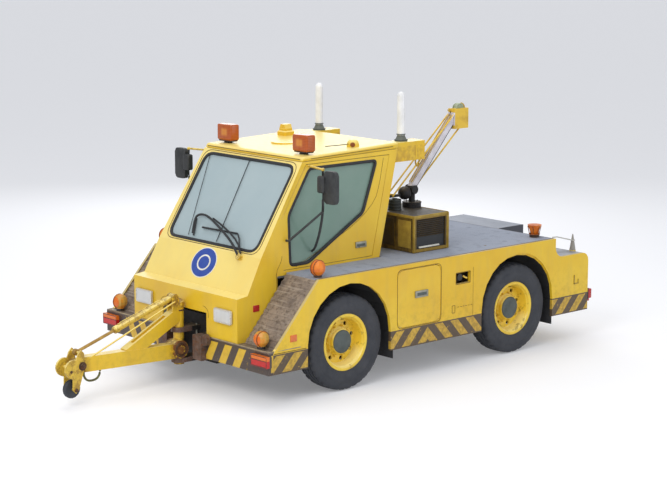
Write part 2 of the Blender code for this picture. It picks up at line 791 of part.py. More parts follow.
def deck():
    """Deck plate round the cab and over the tongue, with its ball and cone markers."""
    half = SKIN_INNER_X - SEAT_GAP
    notch = NOSE_HALF + SEAT_GAP
    notch_rear = CAB_REAR_LOW_Y + SKIN_THICKNESS
    outline = [(half, DECK_FRONT_Y), (half, TAIL_FRONT_Y - SEAT_GAP), (-half, TAIL_FRONT_Y - SEAT_GAP),
               (-half, DECK_FRONT_Y), (-notch, DECK_FRONT_Y), (-notch, notch_rear), (notch, notch_rear),
               (notch, DECK_FRONT_Y)]
    top = DECK_HEIGHT
    body = plate("deck_plate", outline, top - DECK_THICKNESS, top, PLAN)
    for side in (-1, 1):
        foot_low = (side * DECK_BALL_X, DECK_BALL_Y, top - DECK_THICKNESS / 2)
        foot_high = (side * DECK_BALL_X, DECK_BALL_Y, top + BALL_FOOT_HEIGHT)
        globe = (side * DECK_BALL_X, DECK_BALL_Y, top + BALL_RADIUS + BALL_FOOT_HEIGHT / 3)
        collar_low = (side * CONE_X, CONE_Y, top - DECK_THICKNESS / 2)
        collar_high = (side * CONE_X, CONE_Y, top + CONE_FOOT_HEIGHT)
        cone_low = (side * CONE_X, CONE_Y, top + CONE_FOOT_HEIGHT / 2)
        cone_high = (side * CONE_X, CONE_Y, top + CONE_HEIGHT)
        unite(body, rod("ball_foot", foot_low, foot_high, BALL_FOOT_RADIUS), ball("ball", globe, BALL_RADIUS),
              rod("cone_foot", collar_low, collar_high, CONE_FOOT_RADIUS),
              rod("cone", cone_low, cone_high, CONE_FOOT_RADIUS / 2, end_radius=CONE_RADIUS))
    return body


def bumper():
    """Two platform halves with striped aprons, joined across behind the nose recess."""
    reach = SKIN_INNER_X - SEAT_GAP
    apron_y = FRONT_SKIN_Y - SEAT_GAP
    body = box("front_bumper", (-reach, BUMPER_REAR_Y, HITCH_LOW + PLATE_THICKNESS),
               (reach, BUMPER_REAR_Y + PLATE_THICKNESS, PLATFORM_HEIGHT))
    for side in (-1, 1):
        def span(a, b):
            return min(side * a, side * b), max(side * a, side * b)
        top = span(RECESS_HALF, reach)
        apron = span(RECESS_HALF, BODY_HALF)
        lamp = span(CORNER_LAMP_INNER_X, CORNER_LAMP_OUTER_X)
        plate_box = box("platform", (top[0], apron_y - PLATE_THICKNESS, PLATFORM_HEIGHT - PLATE_THICKNESS),
                        (top[1], BUMPER_REAR_Y + PLATE_THICKNESS / 2, PLATFORM_HEIGHT))
        apron_box = box("apron", (apron[0], BUMPER_FRONT_Y, SKIRT_HEIGHT),
                        (apron[1], apron_y, PLATFORM_HEIGHT))
        lamp_box = box("corner_lamp", (lamp[0], BUMPER_FRONT_Y - CORNER_LAMP_REACH, CORNER_LAMP_LOW),
                       (lamp[1], BUMPER_FRONT_Y + PLATE_THICKNESS, CORNER_LAMP_HIGH))
        centre = (side * BALL_X, BALL_Y, PLATFORM_HEIGHT + BALL_RADIUS + BALL_FOOT_HEIGHT / 2)
        foot = rod("ball_foot", (side * BALL_X, BALL_Y, PLATFORM_HEIGHT - PLATE_THICKNESS / 2),
                   (side * BALL_X, BALL_Y, PLATFORM_HEIGHT + BALL_FOOT_HEIGHT), BALL_FOOT_RADIUS)
        unite(body, plate_box, apron_box, lamp_box, foot, ball("marker", centre, BALL_RADIUS))
    return body


def tail():
    """Ballasted tail between the skins: shelf corners, tongue, tail lamps and corner spikes."""
    half = SKIN_INNER_X - SEAT_GAP
    under = DECK_HEIGHT - DECK_THICKNESS - SEAT_GAP
    front = TAIL_FRONT_Y - TAIL_STEP
    outline = [(front, SKIRT_HEIGHT), (TAIL_Y, SKIRT_HEIGHT)] + shelf_curve()
    outline += [(TAIL_FRONT_Y, under), (front, under)]
    body = plate("tail_body", outline, -half, half, SIDE)
    tongue = box("tongue", (-TONGUE_HALF, TAIL_FRONT_Y + SEAT_GAP, SHELF_HEIGHT - DECK_THICKNESS),
                 (TONGUE_HALF, TONGUE_Y, DECK_HEIGHT))
    unite(body, tongue)
    for side in (-1, 1):
        outer = half
        inner = outer - TAIL_LAMP_WIDTH
        low = (min(side * inner, side * outer), TAIL_Y - DECK_THICKNESS, TAIL_LAMP_LOW)
        high = (max(side * inner, side * outer), TAIL_Y + TAIL_LAMP_DEPTH, TAIL_LAMP_LOW + TAIL_LAMP_HEIGHT)
        spike_foot = (side * SPIKE_X, SPIKE_Y, SHELF_HEIGHT - DECK_THICKNESS)
        spike_top = (side * SPIKE_X, SPIKE_Y, SHELF_HEIGHT + SPIKE_HEIGHT)
        unite(body, box("tail_lamp", low, high),
              rod("spike", spike_foot, spike_top, SPIKE_RADIUS, end_radius=SPIKE_RADIUS / 8))
    return body


def mud_flap():
    """Rubber flap that hangs from the tail's front behind the left rear wheel."""
    rear = TAIL_FRONT_Y - TAIL_STEP - SEAT_GAP
    return box("mud_flap", (FLAP_INNER_X, rear - FLAP_THICKNESS, FLAP_LOW),
               (SKIN_INNER_X - SWING_GAP, rear, FLAP_HIGH))


def nose():
    """Closed nose housing with its bonnet slope, ledge, recess and wheel clearance."""
    low = PLATFORM_HEIGHT + SEAT_GAP
    outline = [(NOSE_FRONT_Y, low), (NOSE_BACK_Y, low), (NOSE_BACK_Y, COWL_TOP), (COWL_Y, COWL_TOP),
               (LEDGE_Y, LEDGE_TOP), (NOSE_FRONT_Y, NOSE_TOP)]
    body = plate("nose", outline, -NOSE_HALF, NOSE_HALF, SIDE)
    recess = box("recess", (-RECESS_HALF, NOSE_FRONT_Y - CUT_OVERRUN, low - CUT_OVERRUN),
                 (RECESS_HALF, RECESS_BACK_Y, RECESS_TOP))
    housing = STEER_LINER_RADIUS + LINER_THICKNESS + SWING_GAP
    channel = box("rail_channel", (-RECESS_HALF, RECESS_BACK_Y - CUT_OVERRUN, low - CUT_OVERRUN),
                  (RECESS_HALF, NOSE_BACK_Y + CUT_OVERRUN, RAIL_HIGH + SWING_GAP))
    cut(body, recess, channel)
    for side in (-1, 1):
        inner = LINER_INNER_X - LINER_THICKNESS - SWING_GAP
        cut(body, rod("wheel_space", (side * inner, 0, LINER_HEIGHT),
                      (side * (NOSE_HALF + CUT_OVERRUN), 0, LINER_HEIGHT), housing, HOUSING_SEGMENTS))
    return lean_in(body)


def screen_frame():
    """Place and slope of the windscreen: middle of the pane and its rise angle."""
    foot = Vector((0, COWL_Y, COWL_TOP))
    top = Vector((0, CAB_TOP_FRONT_Y, CAB_TOP_FRONT))
    return (foot + top) / 2, (top - foot).length, math.atan2(top.z - foot.z, top.y - foot.y)


def screen_pane(name, half, tall, corner, low, high):
    """A rounded pane in the plane of the windscreen, from depth low to high outwards."""
    middle, _, slope = screen_frame()
    pane = plate(name, rounded((-half, -tall / 2), (half, tall / 2), corner), low, high, PLAN)
    pane.data.transform(Matrix.Translation(middle) @ Matrix.Rotation(slope, 4, "X"))
    return pane


def door_outline(inset, hinge_gap=0):
    """The cab door in the side plane, made smaller by a gap, which is finer along its hinge."""
    rear_low = CAB_REAR_LOW_Y - DOOR_REAR_INSET
    lean = (CAB_TOP_REAR_Y - CAB_REAR_LOW_Y) / (CAB_TOP_REAR - CAB_LOW)
    rear_high = rear_low + lean * (DOOR_HIGH - DOOR_LOW)
    return [(DOOR_FRONT_Y + hinge_gap, DOOR_LOW + inset), (rear_low - inset, DOOR_LOW + inset),
            (rear_high - inset, DOOR_HIGH - inset), (DOOR_TOP_FRONT_Y + inset, DOOR_HIGH - inset),
            (DOOR_FRONT_Y + inset, DOOR_BEND), (DOOR_FRONT_Y + hinge_gap, DOOR_BEND - inset)]


def window_outline(inset):
    """The side window, which follows the pillar in front and rises in a long slope behind."""
    return [(WINDOW_FRONT_Y + inset, WINDOW_LOW + inset), (WINDOW_LOW_REAR_Y, WINDOW_LOW + inset),
            (WINDOW_BEND_Y - inset, WINDOW_BEND), (WINDOW_TOP_REAR_Y - inset, WINDOW_HIGH - inset),
            (WINDOW_TOP_FRONT_Y + inset, WINDOW_HIGH - inset), (WINDOW_FRONT_Y + inset, WINDOW_PILLAR)]


def rear_slope():
    """Lean of the cab's rear wall, run over rise."""
    return (CAB_TOP_REAR_Y - CAB_REAR_LOW_Y) / (CAB_TOP_REAR - CAB_LOW)


def rear_pane(name, half, low, high, corner, near, far):
    """A rounded pane in the plane of the rear wall, from depth near to far behind it."""
    tilt = math.atan(rear_slope())
    tall = (high - low) / math.cos(tilt)
    middle_z = (low + high) / 2
    middle_y = CAB_REAR_LOW_Y + rear_slope() * (middle_z - CAB_LOW)
    pane = plate(name, rounded((-half, -tall / 2), (half, tall / 2), corner), -far, -near, FRONT)
    pane.data.transform(Matrix.Translation((0, middle_y, middle_z)) @ Matrix.Rotation(-tilt, 4, "X")
                        @ Matrix.Diagonal((1, -1, 1, 1)))
    pane.data.flip_normals()
    return pane


def cab_shell():
    """Cab walls and pillars, open below and above, with screens and doorways cut."""
    seam = NOSE_BACK_Y + SEAT_GAP
    low = COWL_TOP + SEAT_GAP
    wall = CAB_WALL
    outer = [(COWL_Y, low), (seam, low), (seam, CAB_LOW), (CAB_REAR_LOW_Y, CAB_LOW),
             (CAB_TOP_REAR_Y, CAB_TOP_REAR), (CAB_TOP_FRONT_Y, CAB_TOP_FRONT)]
    slope = (CAB_TOP_FRONT_Y - COWL_Y) / (CAB_TOP_FRONT - COWL_TOP)
    over = CUT_OVERRUN
    front_wall = wall * FRONT_WALL_SHARE
    inner = [(COWL_Y + front_wall - slope * over, low - over), (seam + wall, low - over),
             (seam + wall, CAB_LOW - over), (CAB_REAR_LOW_Y - wall - rear_slope() * over, CAB_LOW - over),
             (CAB_TOP_REAR_Y - wall + rear_slope() * over, CAB_TOP_REAR + over),
             (CAB_TOP_FRONT_Y + front_wall + slope * over, CAB_TOP_FRONT + over)]
    shell = plate("cab_shell", outer, -NOSE_HALF, NOSE_HALF, SIDE)
    hollow = plate("hollow", inner, wall - NOSE_HALF, NOSE_HALF - wall, SIDE)
    cut(shell, hollow)
    lean_in(shell)
    _, length, _ = screen_frame()
    tall = length - 2 * SCREEN_MARGIN
    doorway = door_outline(0)[:-1]
    cut(shell, screen_pane("screen_hole", SCREEN_HALF, tall, SCREEN_CORNER, -3 * wall, wall),
        plate("doorway", doorway, -NOSE_HALF - over, NOSE_HALF + over, SIDE),
        rear_pane("rear_hole", REAR_GLASS_HALF, REAR_GLASS_LOW, REAR_GLASS_HIGH, REAR_GLASS_CORNER,
                  -2 * wall, wall))
    return shell


def cab_door():
    """Door skin of the left side with its window cut and a handle plate."""
    low = NOSE_HALF - CAB_WALL
    door = plate("door", door_outline(SWING_GAP, SEAT_GAP), low, NOSE_HALF, SIDE, (window_outline(0),))
    lean_in(door)
    handle_x = NOSE_HALF - CAB_LEAN * (HANDLE_HEIGHT - LEAN_START)
    handle_low = (handle_x - HANDLE_DEPTH, HANDLE_Y - HANDLE_LENGTH / 2, HANDLE_HEIGHT - HANDLE_TALL / 2)
    handle_high = (handle_x + HANDLE_DEPTH, HANDLE_Y + HANDLE_LENGTH / 2, HANDLE_HEIGHT + HANDLE_TALL / 2)
    handle = box("handle", handle_low, handle_high)
    return unite(door, handle)


def door_glass():
    middle = NOSE_HALF - CAB_WALL / 2
    pane = plate("pane", window_outline(SEAT_GAP), middle - GLASS_THICKNESS / 2, middle + GLASS_THICKNESS / 2,
                 SIDE)
    return lean_in(pane)


def mirror():
    """Mirror head with the bent tube that carries it from the door's top and foot."""
    top_x = NOSE_HALF - CAB_LEAN * (MIRROR_ARM_HEIGHT - LEAN_START)
    foot_x = NOSE_HALF - CAB_LEAN * (MIRROR_FOOT_HEIGHT - LEAN_START)
    fit = MIRROR_ARM_FIT
    start = (top_x + fit, MIRROR_ROOT_Y, MIRROR_ARM_HEIGHT)
    shoulder = (top_x + 4 * MIRROR_ARM_RADIUS, MIRROR_ROOT_Y, MIRROR_ARM_HEIGHT)
    elbow = (MIRROR_STEM_X, MIRROR_Y, MIRROR_ARM_HEIGHT)
    knee = (MIRROR_STEM_X, MIRROR_Y, MIRROR_LOW - MIRROR_HALF)
    ankle = (foot_x + 4 * MIRROR_ARM_RADIUS, MIRROR_FOOT_Y, MIRROR_FOOT_HEIGHT)
    foot = (foot_x + fit, MIRROR_FOOT_Y, MIRROR_FOOT_HEIGHT)
    head = box("mirror", (MIRROR_X - MIRROR_HALF, MIRROR_Y - MIRROR_DEPTH / 2, MIRROR_LOW),
               (MIRROR_X + MIRROR_HALF, MIRROR_Y + MIRROR_DEPTH / 2, MIRROR_HIGH))
    bevel(head, MIRROR_DEPTH / 3, 1)
    clamp_low = (MIRROR_STEM_X - MIRROR_DEPTH / 2, MIRROR_Y - MIRROR_DEPTH / 3, MIRROR_LOW + MIRROR_HALF)
    clamp_high = (MIRROR_X, MIRROR_Y + MIRROR_DEPTH / 3, MIRROR_HIGH - MIRROR_HALF)
    clamp = box("clamp", clamp_low, clamp_high)
    return unite(head, clamp, tube("arm", (start, shoulder, elbow, knee, ankle, foot), MIRROR_ARM_RADIUS))


def roof_height(y):
    share = (y - ROOF_FRONT_Y) / (ROOF_REAR_Y - ROOF_EDGE - ROOF_FRONT_Y)
    return ROOF_FRONT + share * (ROOF_REAR - ROOF_FRONT)


def roof():
    """Roof cap with its vent, hatch and dome, and the two rear arms that carry the tube lamps."""
    under = SEAT_GAP
    outline = [(CAB_TOP_FRONT_Y, CAB_TOP_FRONT + under), (CAB_TOP_REAR_Y, CAB_TOP_REAR + under),
               (ROOF_REAR_Y - ROOF_EDGE, CAB_TOP_REAR + ROOF_EDGE), (ROOF_REAR_Y - ROOF_EDGE, ROOF_REAR),
               (ROOF_FRONT_Y, ROOF_FRONT)]
    half = NOSE_HALF
    cap = plate("roof", outline, -half, half, SIDE)
    lean_in(cap)
    bevel(cap, ROOF_EDGE)
    flatten(cap)
    for side in (-1, 1):
        low = (min(side * BRACKET_INNER_X, side * BRACKET_OUTER_X), CAB_TOP_REAR_Y + SEAT_GAP, BRACKET_LOW)
        high = (max(side * BRACKET_INNER_X, side * BRACKET_OUTER_X), BRACKET_REAR_Y, BRACKET_HIGH)
        unite(cap, box("bracket", low, high))
    vent = rod("vent", (VENT_X, VENT_Y, ROOF_FRONT - ROOF_EDGE), (VENT_X, VENT_Y, ROOF_FRONT + VENT_HEIGHT),
               VENT_RADIUS, WIDE_SEGMENTS)
    hatch_top = roof_height(HATCH_Y) + HATCH_HEIGHT
    hatch = bevel(box("hatch", (HATCH_X - HATCH_HALF, HATCH_Y - HATCH_HALF, ROOF_FRONT),
                      (HATCH_X + HATCH_HALF, HATCH_Y + HATCH_HALF, hatch_top)), HATCH_HEIGHT / 4, 1)
    dome_top = roof_height(DOME_Y) + DOME_HEIGHT
    dome = rod("dome_lamp", (DOME_X, DOME_Y, ROOF_FRONT), (DOME_X, DOME_Y, dome_top), DOME_RADIUS,
               end_radius=DOME_RADIUS / 2)
    return unite(cap, vent, hatch, dome)


def beacon():
    """Amber box lamp of the roof's left front corner on its stem."""
    foot = roof_height(BEACON_Y + BEACON_STEM_RADIUS) + SEAT_GAP
    low = foot + BEACON_STEM_HEIGHT
    lamp = box("beacon", (BEACON_X - BEACON_WIDTH / 2, BEACON_Y - BEACON_DEPTH / 2, low),
               (BEACON_X + BEACON_WIDTH / 2, BEACON_Y + BEACON_DEPTH / 2, low + BEACON_TALL))
    bevel(lamp, BEACON_DEPTH / 10, 1)
    return unite(lamp, rod("stem", (BEACON_X, BEACON_Y, foot), (BEACON_X, BEACON_Y, low + BEACON_STEM_HEIGHT),
                           BEACON_STEM_RADIUS))


def tube_lamp():
    """Tall white lamp on the left rear arm, with a flared foot and a round top."""
    foot = BRACKET_HIGH + SEAT_GAP
    dome = TUBE_LAMP_TOP - TUBE_LAMP_RADIUS

    def at(height):
        return (TUBE_LAMP_X, TUBE_LAMP_Y, height)
    base = rod("tube_lamp", at(foot), at(foot + TUBE_FOOT_HEIGHT), TUBE_FOOT_RADIUS,
               end_radius=TUBE_LAMP_RADIUS)
    return unite(base, rod("tube", at(foot + TUBE_FOOT_HEIGHT / 2), at(dome), TUBE_LAMP_RADIUS),
                 ball("dome", at(dome), TUBE_LAMP_RADIUS))


def cab_tub():
    """Cab floor between the wheel housings, with the flanges that the walls stand on."""
    top = CAB_LOW - SEAT_GAP
    low = FLOOR_TOP - FLOOR_THICKNESS
    under = top - TUB_WALL
    front = NOSE_BACK_Y + SEAT_GAP
    inside = TUB_HALF - TUB_WALL
    edge = NOSE_HALF - SEAT_GAP
    outline = [(-edge, under), (-TUB_HALF, under), (-TUB_HALF, low), (TUB_HALF, low), (TUB_HALF, under),
               (edge, under), (edge, top), (inside, top), (inside, FLOOR_TOP), (-inside, FLOOR_TOP),
               (-inside, top), (-edge, top)]
    tub = plate("cab_floor", outline, front, TUB_REAR_Y, FRONT)
    back_low = (-TUB_HALF + TUB_WALL / 2, TUB_REAR_Y - TUB_WALL, FLOOR_TOP - TUB_WALL)
    unite(tub, box("back", back_low, (TUB_HALF - TUB_WALL / 2, TUB_REAR_Y, top)))
    for side in (-1, 1):
        for foot_y in (FOOT_FRONT_Y, FOOT_REAR_Y):
            foot_low = (side * RAIL_X - FOOT_SIZE / 2, foot_y - FOOT_SIZE / 2, RAIL_HIGH + SEAT_GAP)
            foot_high = (side * RAIL_X + FOOT_SIZE / 2, foot_y + FOOT_SIZE / 2, low + TUB_WALL)
            unite(tub, box("foot", foot_low, foot_high))
    return tub


def seat():
    """Seat on the left half: plinth, cushion and a leaning back."""
    cushion_low = SEAT_HEIGHT - SEAT_CUSHION
    rear = SEAT_FRONT_Y + SEAT_DEPTH
    back_top = SEAT_HEIGHT + SEAT_BACK_HEIGHT
    outline = [(SEAT_FRONT_Y, cushion_low), (rear, cushion_low), (rear + SEAT_BACK_LEAN, back_top),
               (rear + SEAT_BACK_LEAN - SEAT_CUSHION, back_top), (rear - SEAT_CUSHION, SEAT_HEIGHT),
               (SEAT_FRONT_Y, SEAT_HEIGHT)]
    cushion = bevel(plate("seat", outline, SEAT_X - SEAT_HALF, SEAT_X + SEAT_HALF, SIDE), SEAT_CUSHION / 4)
    plinth = box("plinth", (SEAT_X - SEAT_PLINTH_HALF, SEAT_FRONT_Y + SEAT_CUSHION / 2, FLOOR_TOP + SEAT_GAP),
                 (SEAT_X + SEAT_PLINTH_HALF, rear - SEAT_CUSHION / 2, cushion_low + SEAT_CUSHION / 2))
    return unite(cushion, plinth)


def console():
    """Dash behind the nose with the steering column and wheel."""
    front = NOSE_BACK_Y + CAB_WALL + 2 * SEAT_GAP
    dash = box("console", (-DASH_HALF, front, FLOOR_TOP + SEAT_GAP),
               (DASH_HALF, front + DASH_DEPTH, DASH_HEIGHT))
    hub = Vector((STEERING_WHEEL_X, STEERING_WHEEL_Y, STEERING_WHEEL_HEIGHT))
    root = Vector((STEERING_WHEEL_X, front + DASH_DEPTH / 2, FLOOR_TOP + DASH_TALL / 2))
    axis = (hub - root).normalized()
    turn = axis.to_track_quat("Z", "Y").to_matrix().to_4x4()
    ring = circle((STEERING_WHEEL_RADIUS, 0), STEERING_RIM_RADIUS, HOLE_SEGMENTS)
    rim = turned_ring("wheel_rim", ring, Matrix.Translation(hub) @ turn, RING_SEGMENTS)
    spokes = []
    for angle in (0, 120, 240):
        tip = turn @ Vector((STEERING_WHEEL_RADIUS * math.cos(math.radians(angle)),
                             STEERING_WHEEL_RADIUS * math.sin(math.radians(angle)), 0))
        spokes.append(rod("spoke", hub, hub + tip, STEERING_RIM_RADIUS * SPOKE_SHARE, HOLE_SEGMENTS))
    return unite(dash, rod("column", root, hub + axis * STEERING_RIM_RADIUS, COLUMN_RADIUS), *spokes, rim)


def turned_ring(name, section, place, segments):
    """A ring of a closed section, given as (radius, along) points, set at a place."""
    bm = bmesh.new()
    points = [bm.verts.new((radius, 0, along)) for radius, along in section]
    edges = [bm.edges.new((a, b)) for a, b in zip(points, points[1:] + points[:1])]
    bmesh.ops.spin(bm, geom=points + edges, cent=(0, 0, 0), axis=(0, 0, 1), angle=2 * math.pi,
                   steps=segments, use_merge=True, dvec=(0, 0, 0))
    bmesh.ops.remove_doubles(bm, verts=bm.verts, dist=0.00001)
    bmesh.ops.recalc_face_normals(bm, faces=bm.faces)
    bmesh.ops.transform(bm, verts=bm.verts, matrix=place)
    return from_bmesh(name, bm)


def headlamp():
    """Square lamp on the left of the nose's front."""
    half = HEADLAMP_WIDTH / 2
    low = (HEADLAMP_X - half, NOSE_FRONT_Y - HEADLAMP_REACH, HEADLAMP_HEIGHT - HEADLAMP_TALL / 2)
    high = (HEADLAMP_X + half, NOSE_FRONT_Y - SEAT_GAP, HEADLAMP_HEIGHT + HEADLAMP_TALL / 2)
    return bevel(box("headlamp", low, high), HEADLAMP_REACH / 4, 1)


def generator():
    """Ochre housing on the deck with an inset side panel and a drum on its lid."""
    low = DECK_HEIGHT + SEAT_GAP
    body = bevel(box("generator_box", (BOX_INNER_X, BOX_FRONT_Y, low), (BOX_OUTER_X, BOX_REAR_Y, BOX_TOP)),
                 BOX_PANEL_DEPTH / 2, 1)
    margin = BOX_PANEL_MARGIN
    panel = box("panel", (BOX_OUTER_X - BOX_PANEL_DEPTH, BOX_FRONT_Y + margin, low + margin),
                (BOX_OUTER_X + CUT_OVERRUN, BOX_REAR_Y - margin, BOX_TOP - margin))
    cut(body, panel)
    drum_foot = (DRUM_X, DRUM_Y, BOX_TOP - BOX_PANEL_DEPTH)
    return unite(body, rod("drum", drum_foot, (DRUM_X, DRUM_Y, BOX_TOP + DRUM_HEIGHT), DRUM_RADIUS,
                           WIDE_SEGMENTS))


def hoist_mast():
    """Turntable, post and the back arm that holds the stays."""
    foot = BOX_TOP + SEAT_GAP
    table = rod("hoist_mast", (HOIST_X, HOIST_Y, foot), (HOIST_X, HOIST_Y, foot + TURNTABLE_HEIGHT),
                TURNTABLE_RADIUS, WIDE_SEGMENTS)
    post_foot = (HOIST_X, HOIST_Y, foot + TURNTABLE_HEIGHT / 2)
    post = rod("post", post_foot, (HOIST_X, HOIST_Y, MAST_TOP), MAST_RADIUS)
    hub = ball("hub", (HOIST_X, HOIST_HUB_Y, HOIST_HUB_HEIGHT), HOIST_HUB_RADIUS)
    arm_low = (HOIST_X - BOOM_HALF / 2, STAY_FOOT_Y - STAY_RADIUS, STAY_FOOT_HEIGHT - 2 * STAY_RADIUS)
    arm = box("back_arm", arm_low, (HOIST_X + BOOM_HALF / 2, HOIST_Y, STAY_FOOT_HEIGHT + STAY_RADIUS))
    return unite(table, post, hub, arm)


def hoist_boom():
    """White boom with its head, sheave hood, two upper stays and the rod below it."""
    foot = Vector((HOIST_X, BOOM_FOOT_Y, BOOM_FOOT_HEIGHT))
    tip = Vector((HOIST_X, BOOM_TIP_Y, BOOM_TIP_HEIGHT))
    along = (tip - foot).normalized()
    across = Vector((0, -along.z, along.y)) * (BOOM_DEPTH / 2)
    corners = [foot + across, foot - across, tip - across, tip + across]
    base = box("base", (HOIST_X - BOOM_BASE_HALF, HOIST_Y - BOOM_BASE_HALF, MAST_TOP + SEAT_GAP),
               (HOIST_X + BOOM_BASE_HALF, HOIST_Y + BOOM_BASE_HALF, BOOM_FOOT_HEIGHT))
    beam = plate("hoist_boom", [(c.y, c.z) for c in corners], HOIST_X - BOOM_HALF, HOIST_X + BOOM_HALF, SIDE)
    head = box("head", (HOIST_X - HEAD_HALF, HEAD_FRONT_Y - HEAD_HALF, HEAD_LOW),
               (HOIST_X + HEAD_HALF, HEAD_REAR_Y, HEAD_HIGH))
    hood = rod("hood", (HOIST_X - HEAD_HALF / 2, HEAD_FRONT_Y + SHEAVE_RADIUS, HEAD_HIGH),
               (HOIST_X + HEAD_HALF / 2, HEAD_FRONT_Y + SHEAVE_RADIUS, HEAD_HIGH), SHEAVE_RADIUS)
    stays = []
    for side in (-1, 1):
        offset = side * (BOOM_HALF + STAY_RADIUS * 1.5)
        low = (HOIST_X + offset, STAY_FOOT_Y, STAY_FOOT_HEIGHT)
        high = (HOIST_X + offset, HEAD_FRONT_Y, HEAD_HIGH - STAY_RADIUS)
        stays.append(rod("stay", low, high, STAY_RADIUS, THIN_SEGMENTS))
    pin_reach = BOOM_HALF + STAY_RADIUS * 2 + STAY_RADIUS / 2
    pin_height = STAY_FOOT_HEIGHT + 2 * STAY_RADIUS + SEAT_GAP
    pin = rod("stay_pin", (HOIST_X - pin_reach, STAY_FOOT_Y, pin_height),
              (HOIST_X + pin_reach, STAY_FOOT_Y, pin_height), STAY_RADIUS, THIN_SEGMENTS)
    lower = rod("lower_stay", (HOIST_X, LOWER_STAY_FOOT_Y, BOOM_FOOT_HEIGHT - STAY_RADIUS),
                (HOIST_X, LOWER_STAY_TIP_Y, LOWER_STAY_TIP_HEIGHT), STAY_RADIUS, THIN_SEGMENTS)
    return unite(beam, base, head, hood, *stays, pin, lower)


def chassis():
    """Two rails with cross members, hitch blocks in front and the tow post's bearings."""
    rear = TAIL_FRONT_Y - TAIL_STEP - SEAT_GAP
    frame = box("chassis_frame", (RAIL_X - RAIL_HALF, RAIL_FRONT_Y, RAIL_LOW),
                (RAIL_X + RAIL_HALF, rear, RAIL_HIGH))
    other = box("rail", (-RAIL_X - RAIL_HALF, RAIL_FRONT_Y, RAIL_LOW), (RAIL_HALF - RAIL_X, rear, RAIL_HIGH))
    unite(frame, other)
    inset = PLATE_THICKNESS
    for y in (RAIL_FRONT_Y + CROSS_HALF, (FOOT_REAR_Y + ENGINE_FRONT_Y) / 2, (ENGINE_REAR_Y + WHEELBASE) / 2,
              rear - CROSS_HALF):
        unite(frame, box("cross", (-RAIL_X, y - CROSS_HALF, RAIL_LOW + inset),
                         (RAIL_X, y + CROSS_HALF, RAIL_HIGH - inset)))
    for side in (-1, 1):
        low = (min(side * HITCH_INNER_X, side * HITCH_OUTER_X), HITCH_FRONT_Y, HITCH_LOW)
        high = (max(side * HITCH_INNER_X, side * HITCH_OUTER_X), RAIL_FRONT_Y + CROSS_HALF, PLATFORM_HEIGHT)
        riser = (high[0], RAIL_FRONT_Y + CROSS_HALF, RAIL_HIGH - inset)
        jaw = rod("jaw", (side * JAW_X, HITCH_FRONT_Y + SWING_GAP, JAW_HEIGHT),
                  (side * JAW_X, JAW_REAR_Y, JAW_HEIGHT), JAW_RADIUS)
        unite(frame, box("hitch", low, high), jaw,
              box("riser", (low[0], RAIL_FRONT_Y - CROSS_HALF / 2, PLATFORM_HEIGHT - inset), riser))
    bore = (POST_RADIUS + TURN_FIT) / math.cos(math.pi / STUB_SEGMENTS)
    for low in (TOW_BEARING_LOW, TOW_BEARING_HIGH):
        high = low + TOW_BEARING_TALL
        collar = rod("collar", (0, POST_Y, low), (0, POST_Y, high), TOW_BEARING_RADIUS, STUB_SEGMENTS)
        tongue = box("bearing_arm", (-TOW_BEARING_RADIUS, POST_Y, low),
                     (TOW_BEARING_RADIUS, RAIL_FRONT_Y + inset, high))
        unite(frame, collar, tongue)
    back = box("bearing_back", (-HITCH_OUTER_X + inset, RAIL_FRONT_Y - inset, TOW_BEARING_LOW),
               (HITCH_OUTER_X - inset, RAIL_FRONT_Y + inset, RAIL_HIGH - inset))
    unite(frame, back)
    bore_top = TOW_BEARING_HIGH + TOW_BEARING_TALL + CUT_OVERRUN
    cut(frame, rod("bore", (0, POST_Y, TOW_BEARING_LOW - CUT_OVERRUN), (0, POST_Y, bore_top), bore,
                   STUB_SEGMENTS))
    return frame


def engine():
    """Engine and gearbox as one plain block on its rail mounts."""
    body = box("engine_block", (-ENGINE_HALF, ENGINE_FRONT_Y, ENGINE_LOW),
               (ENGINE_HALF, ENGINE_REAR_Y, ENGINE_TOP))
    for y in (ENGINE_FRONT_Y + CROSS_HALF * 2, ENGINE_REAR_Y - CROSS_HALF * 2):
        low = RAIL_HIGH + SEAT_GAP
        unite(body, box("engine_foot", (-RAIL_X, y - CROSS_HALF, low),
                        (RAIL_X, y + CROSS_HALF, low + ENGINE_FOOT)))
    return body


def axle(y, end_x, name):
    """Beam with its differential housing and the spring pads that meet the rails."""
    s = AXLE_HALF_SIZE
    z = TYRE_RADIUS
    beam = box(name, (-end_x, y - s, z - s), (end_x, y + s, z + s))
    unite(beam, ball("housing", (0, y, z), DIFF_RADIUS))
    for side in (-1, 1):
        unite(beam, box("pad", (side * RAIL_X - RAIL_HALF, y - PAD_HALF_Y, z - s / 2),
                        (side * RAIL_X + RAIL_HALF, y + PAD_HALF_Y, RAIL_LOW - SEAT_GAP)))
    return beam


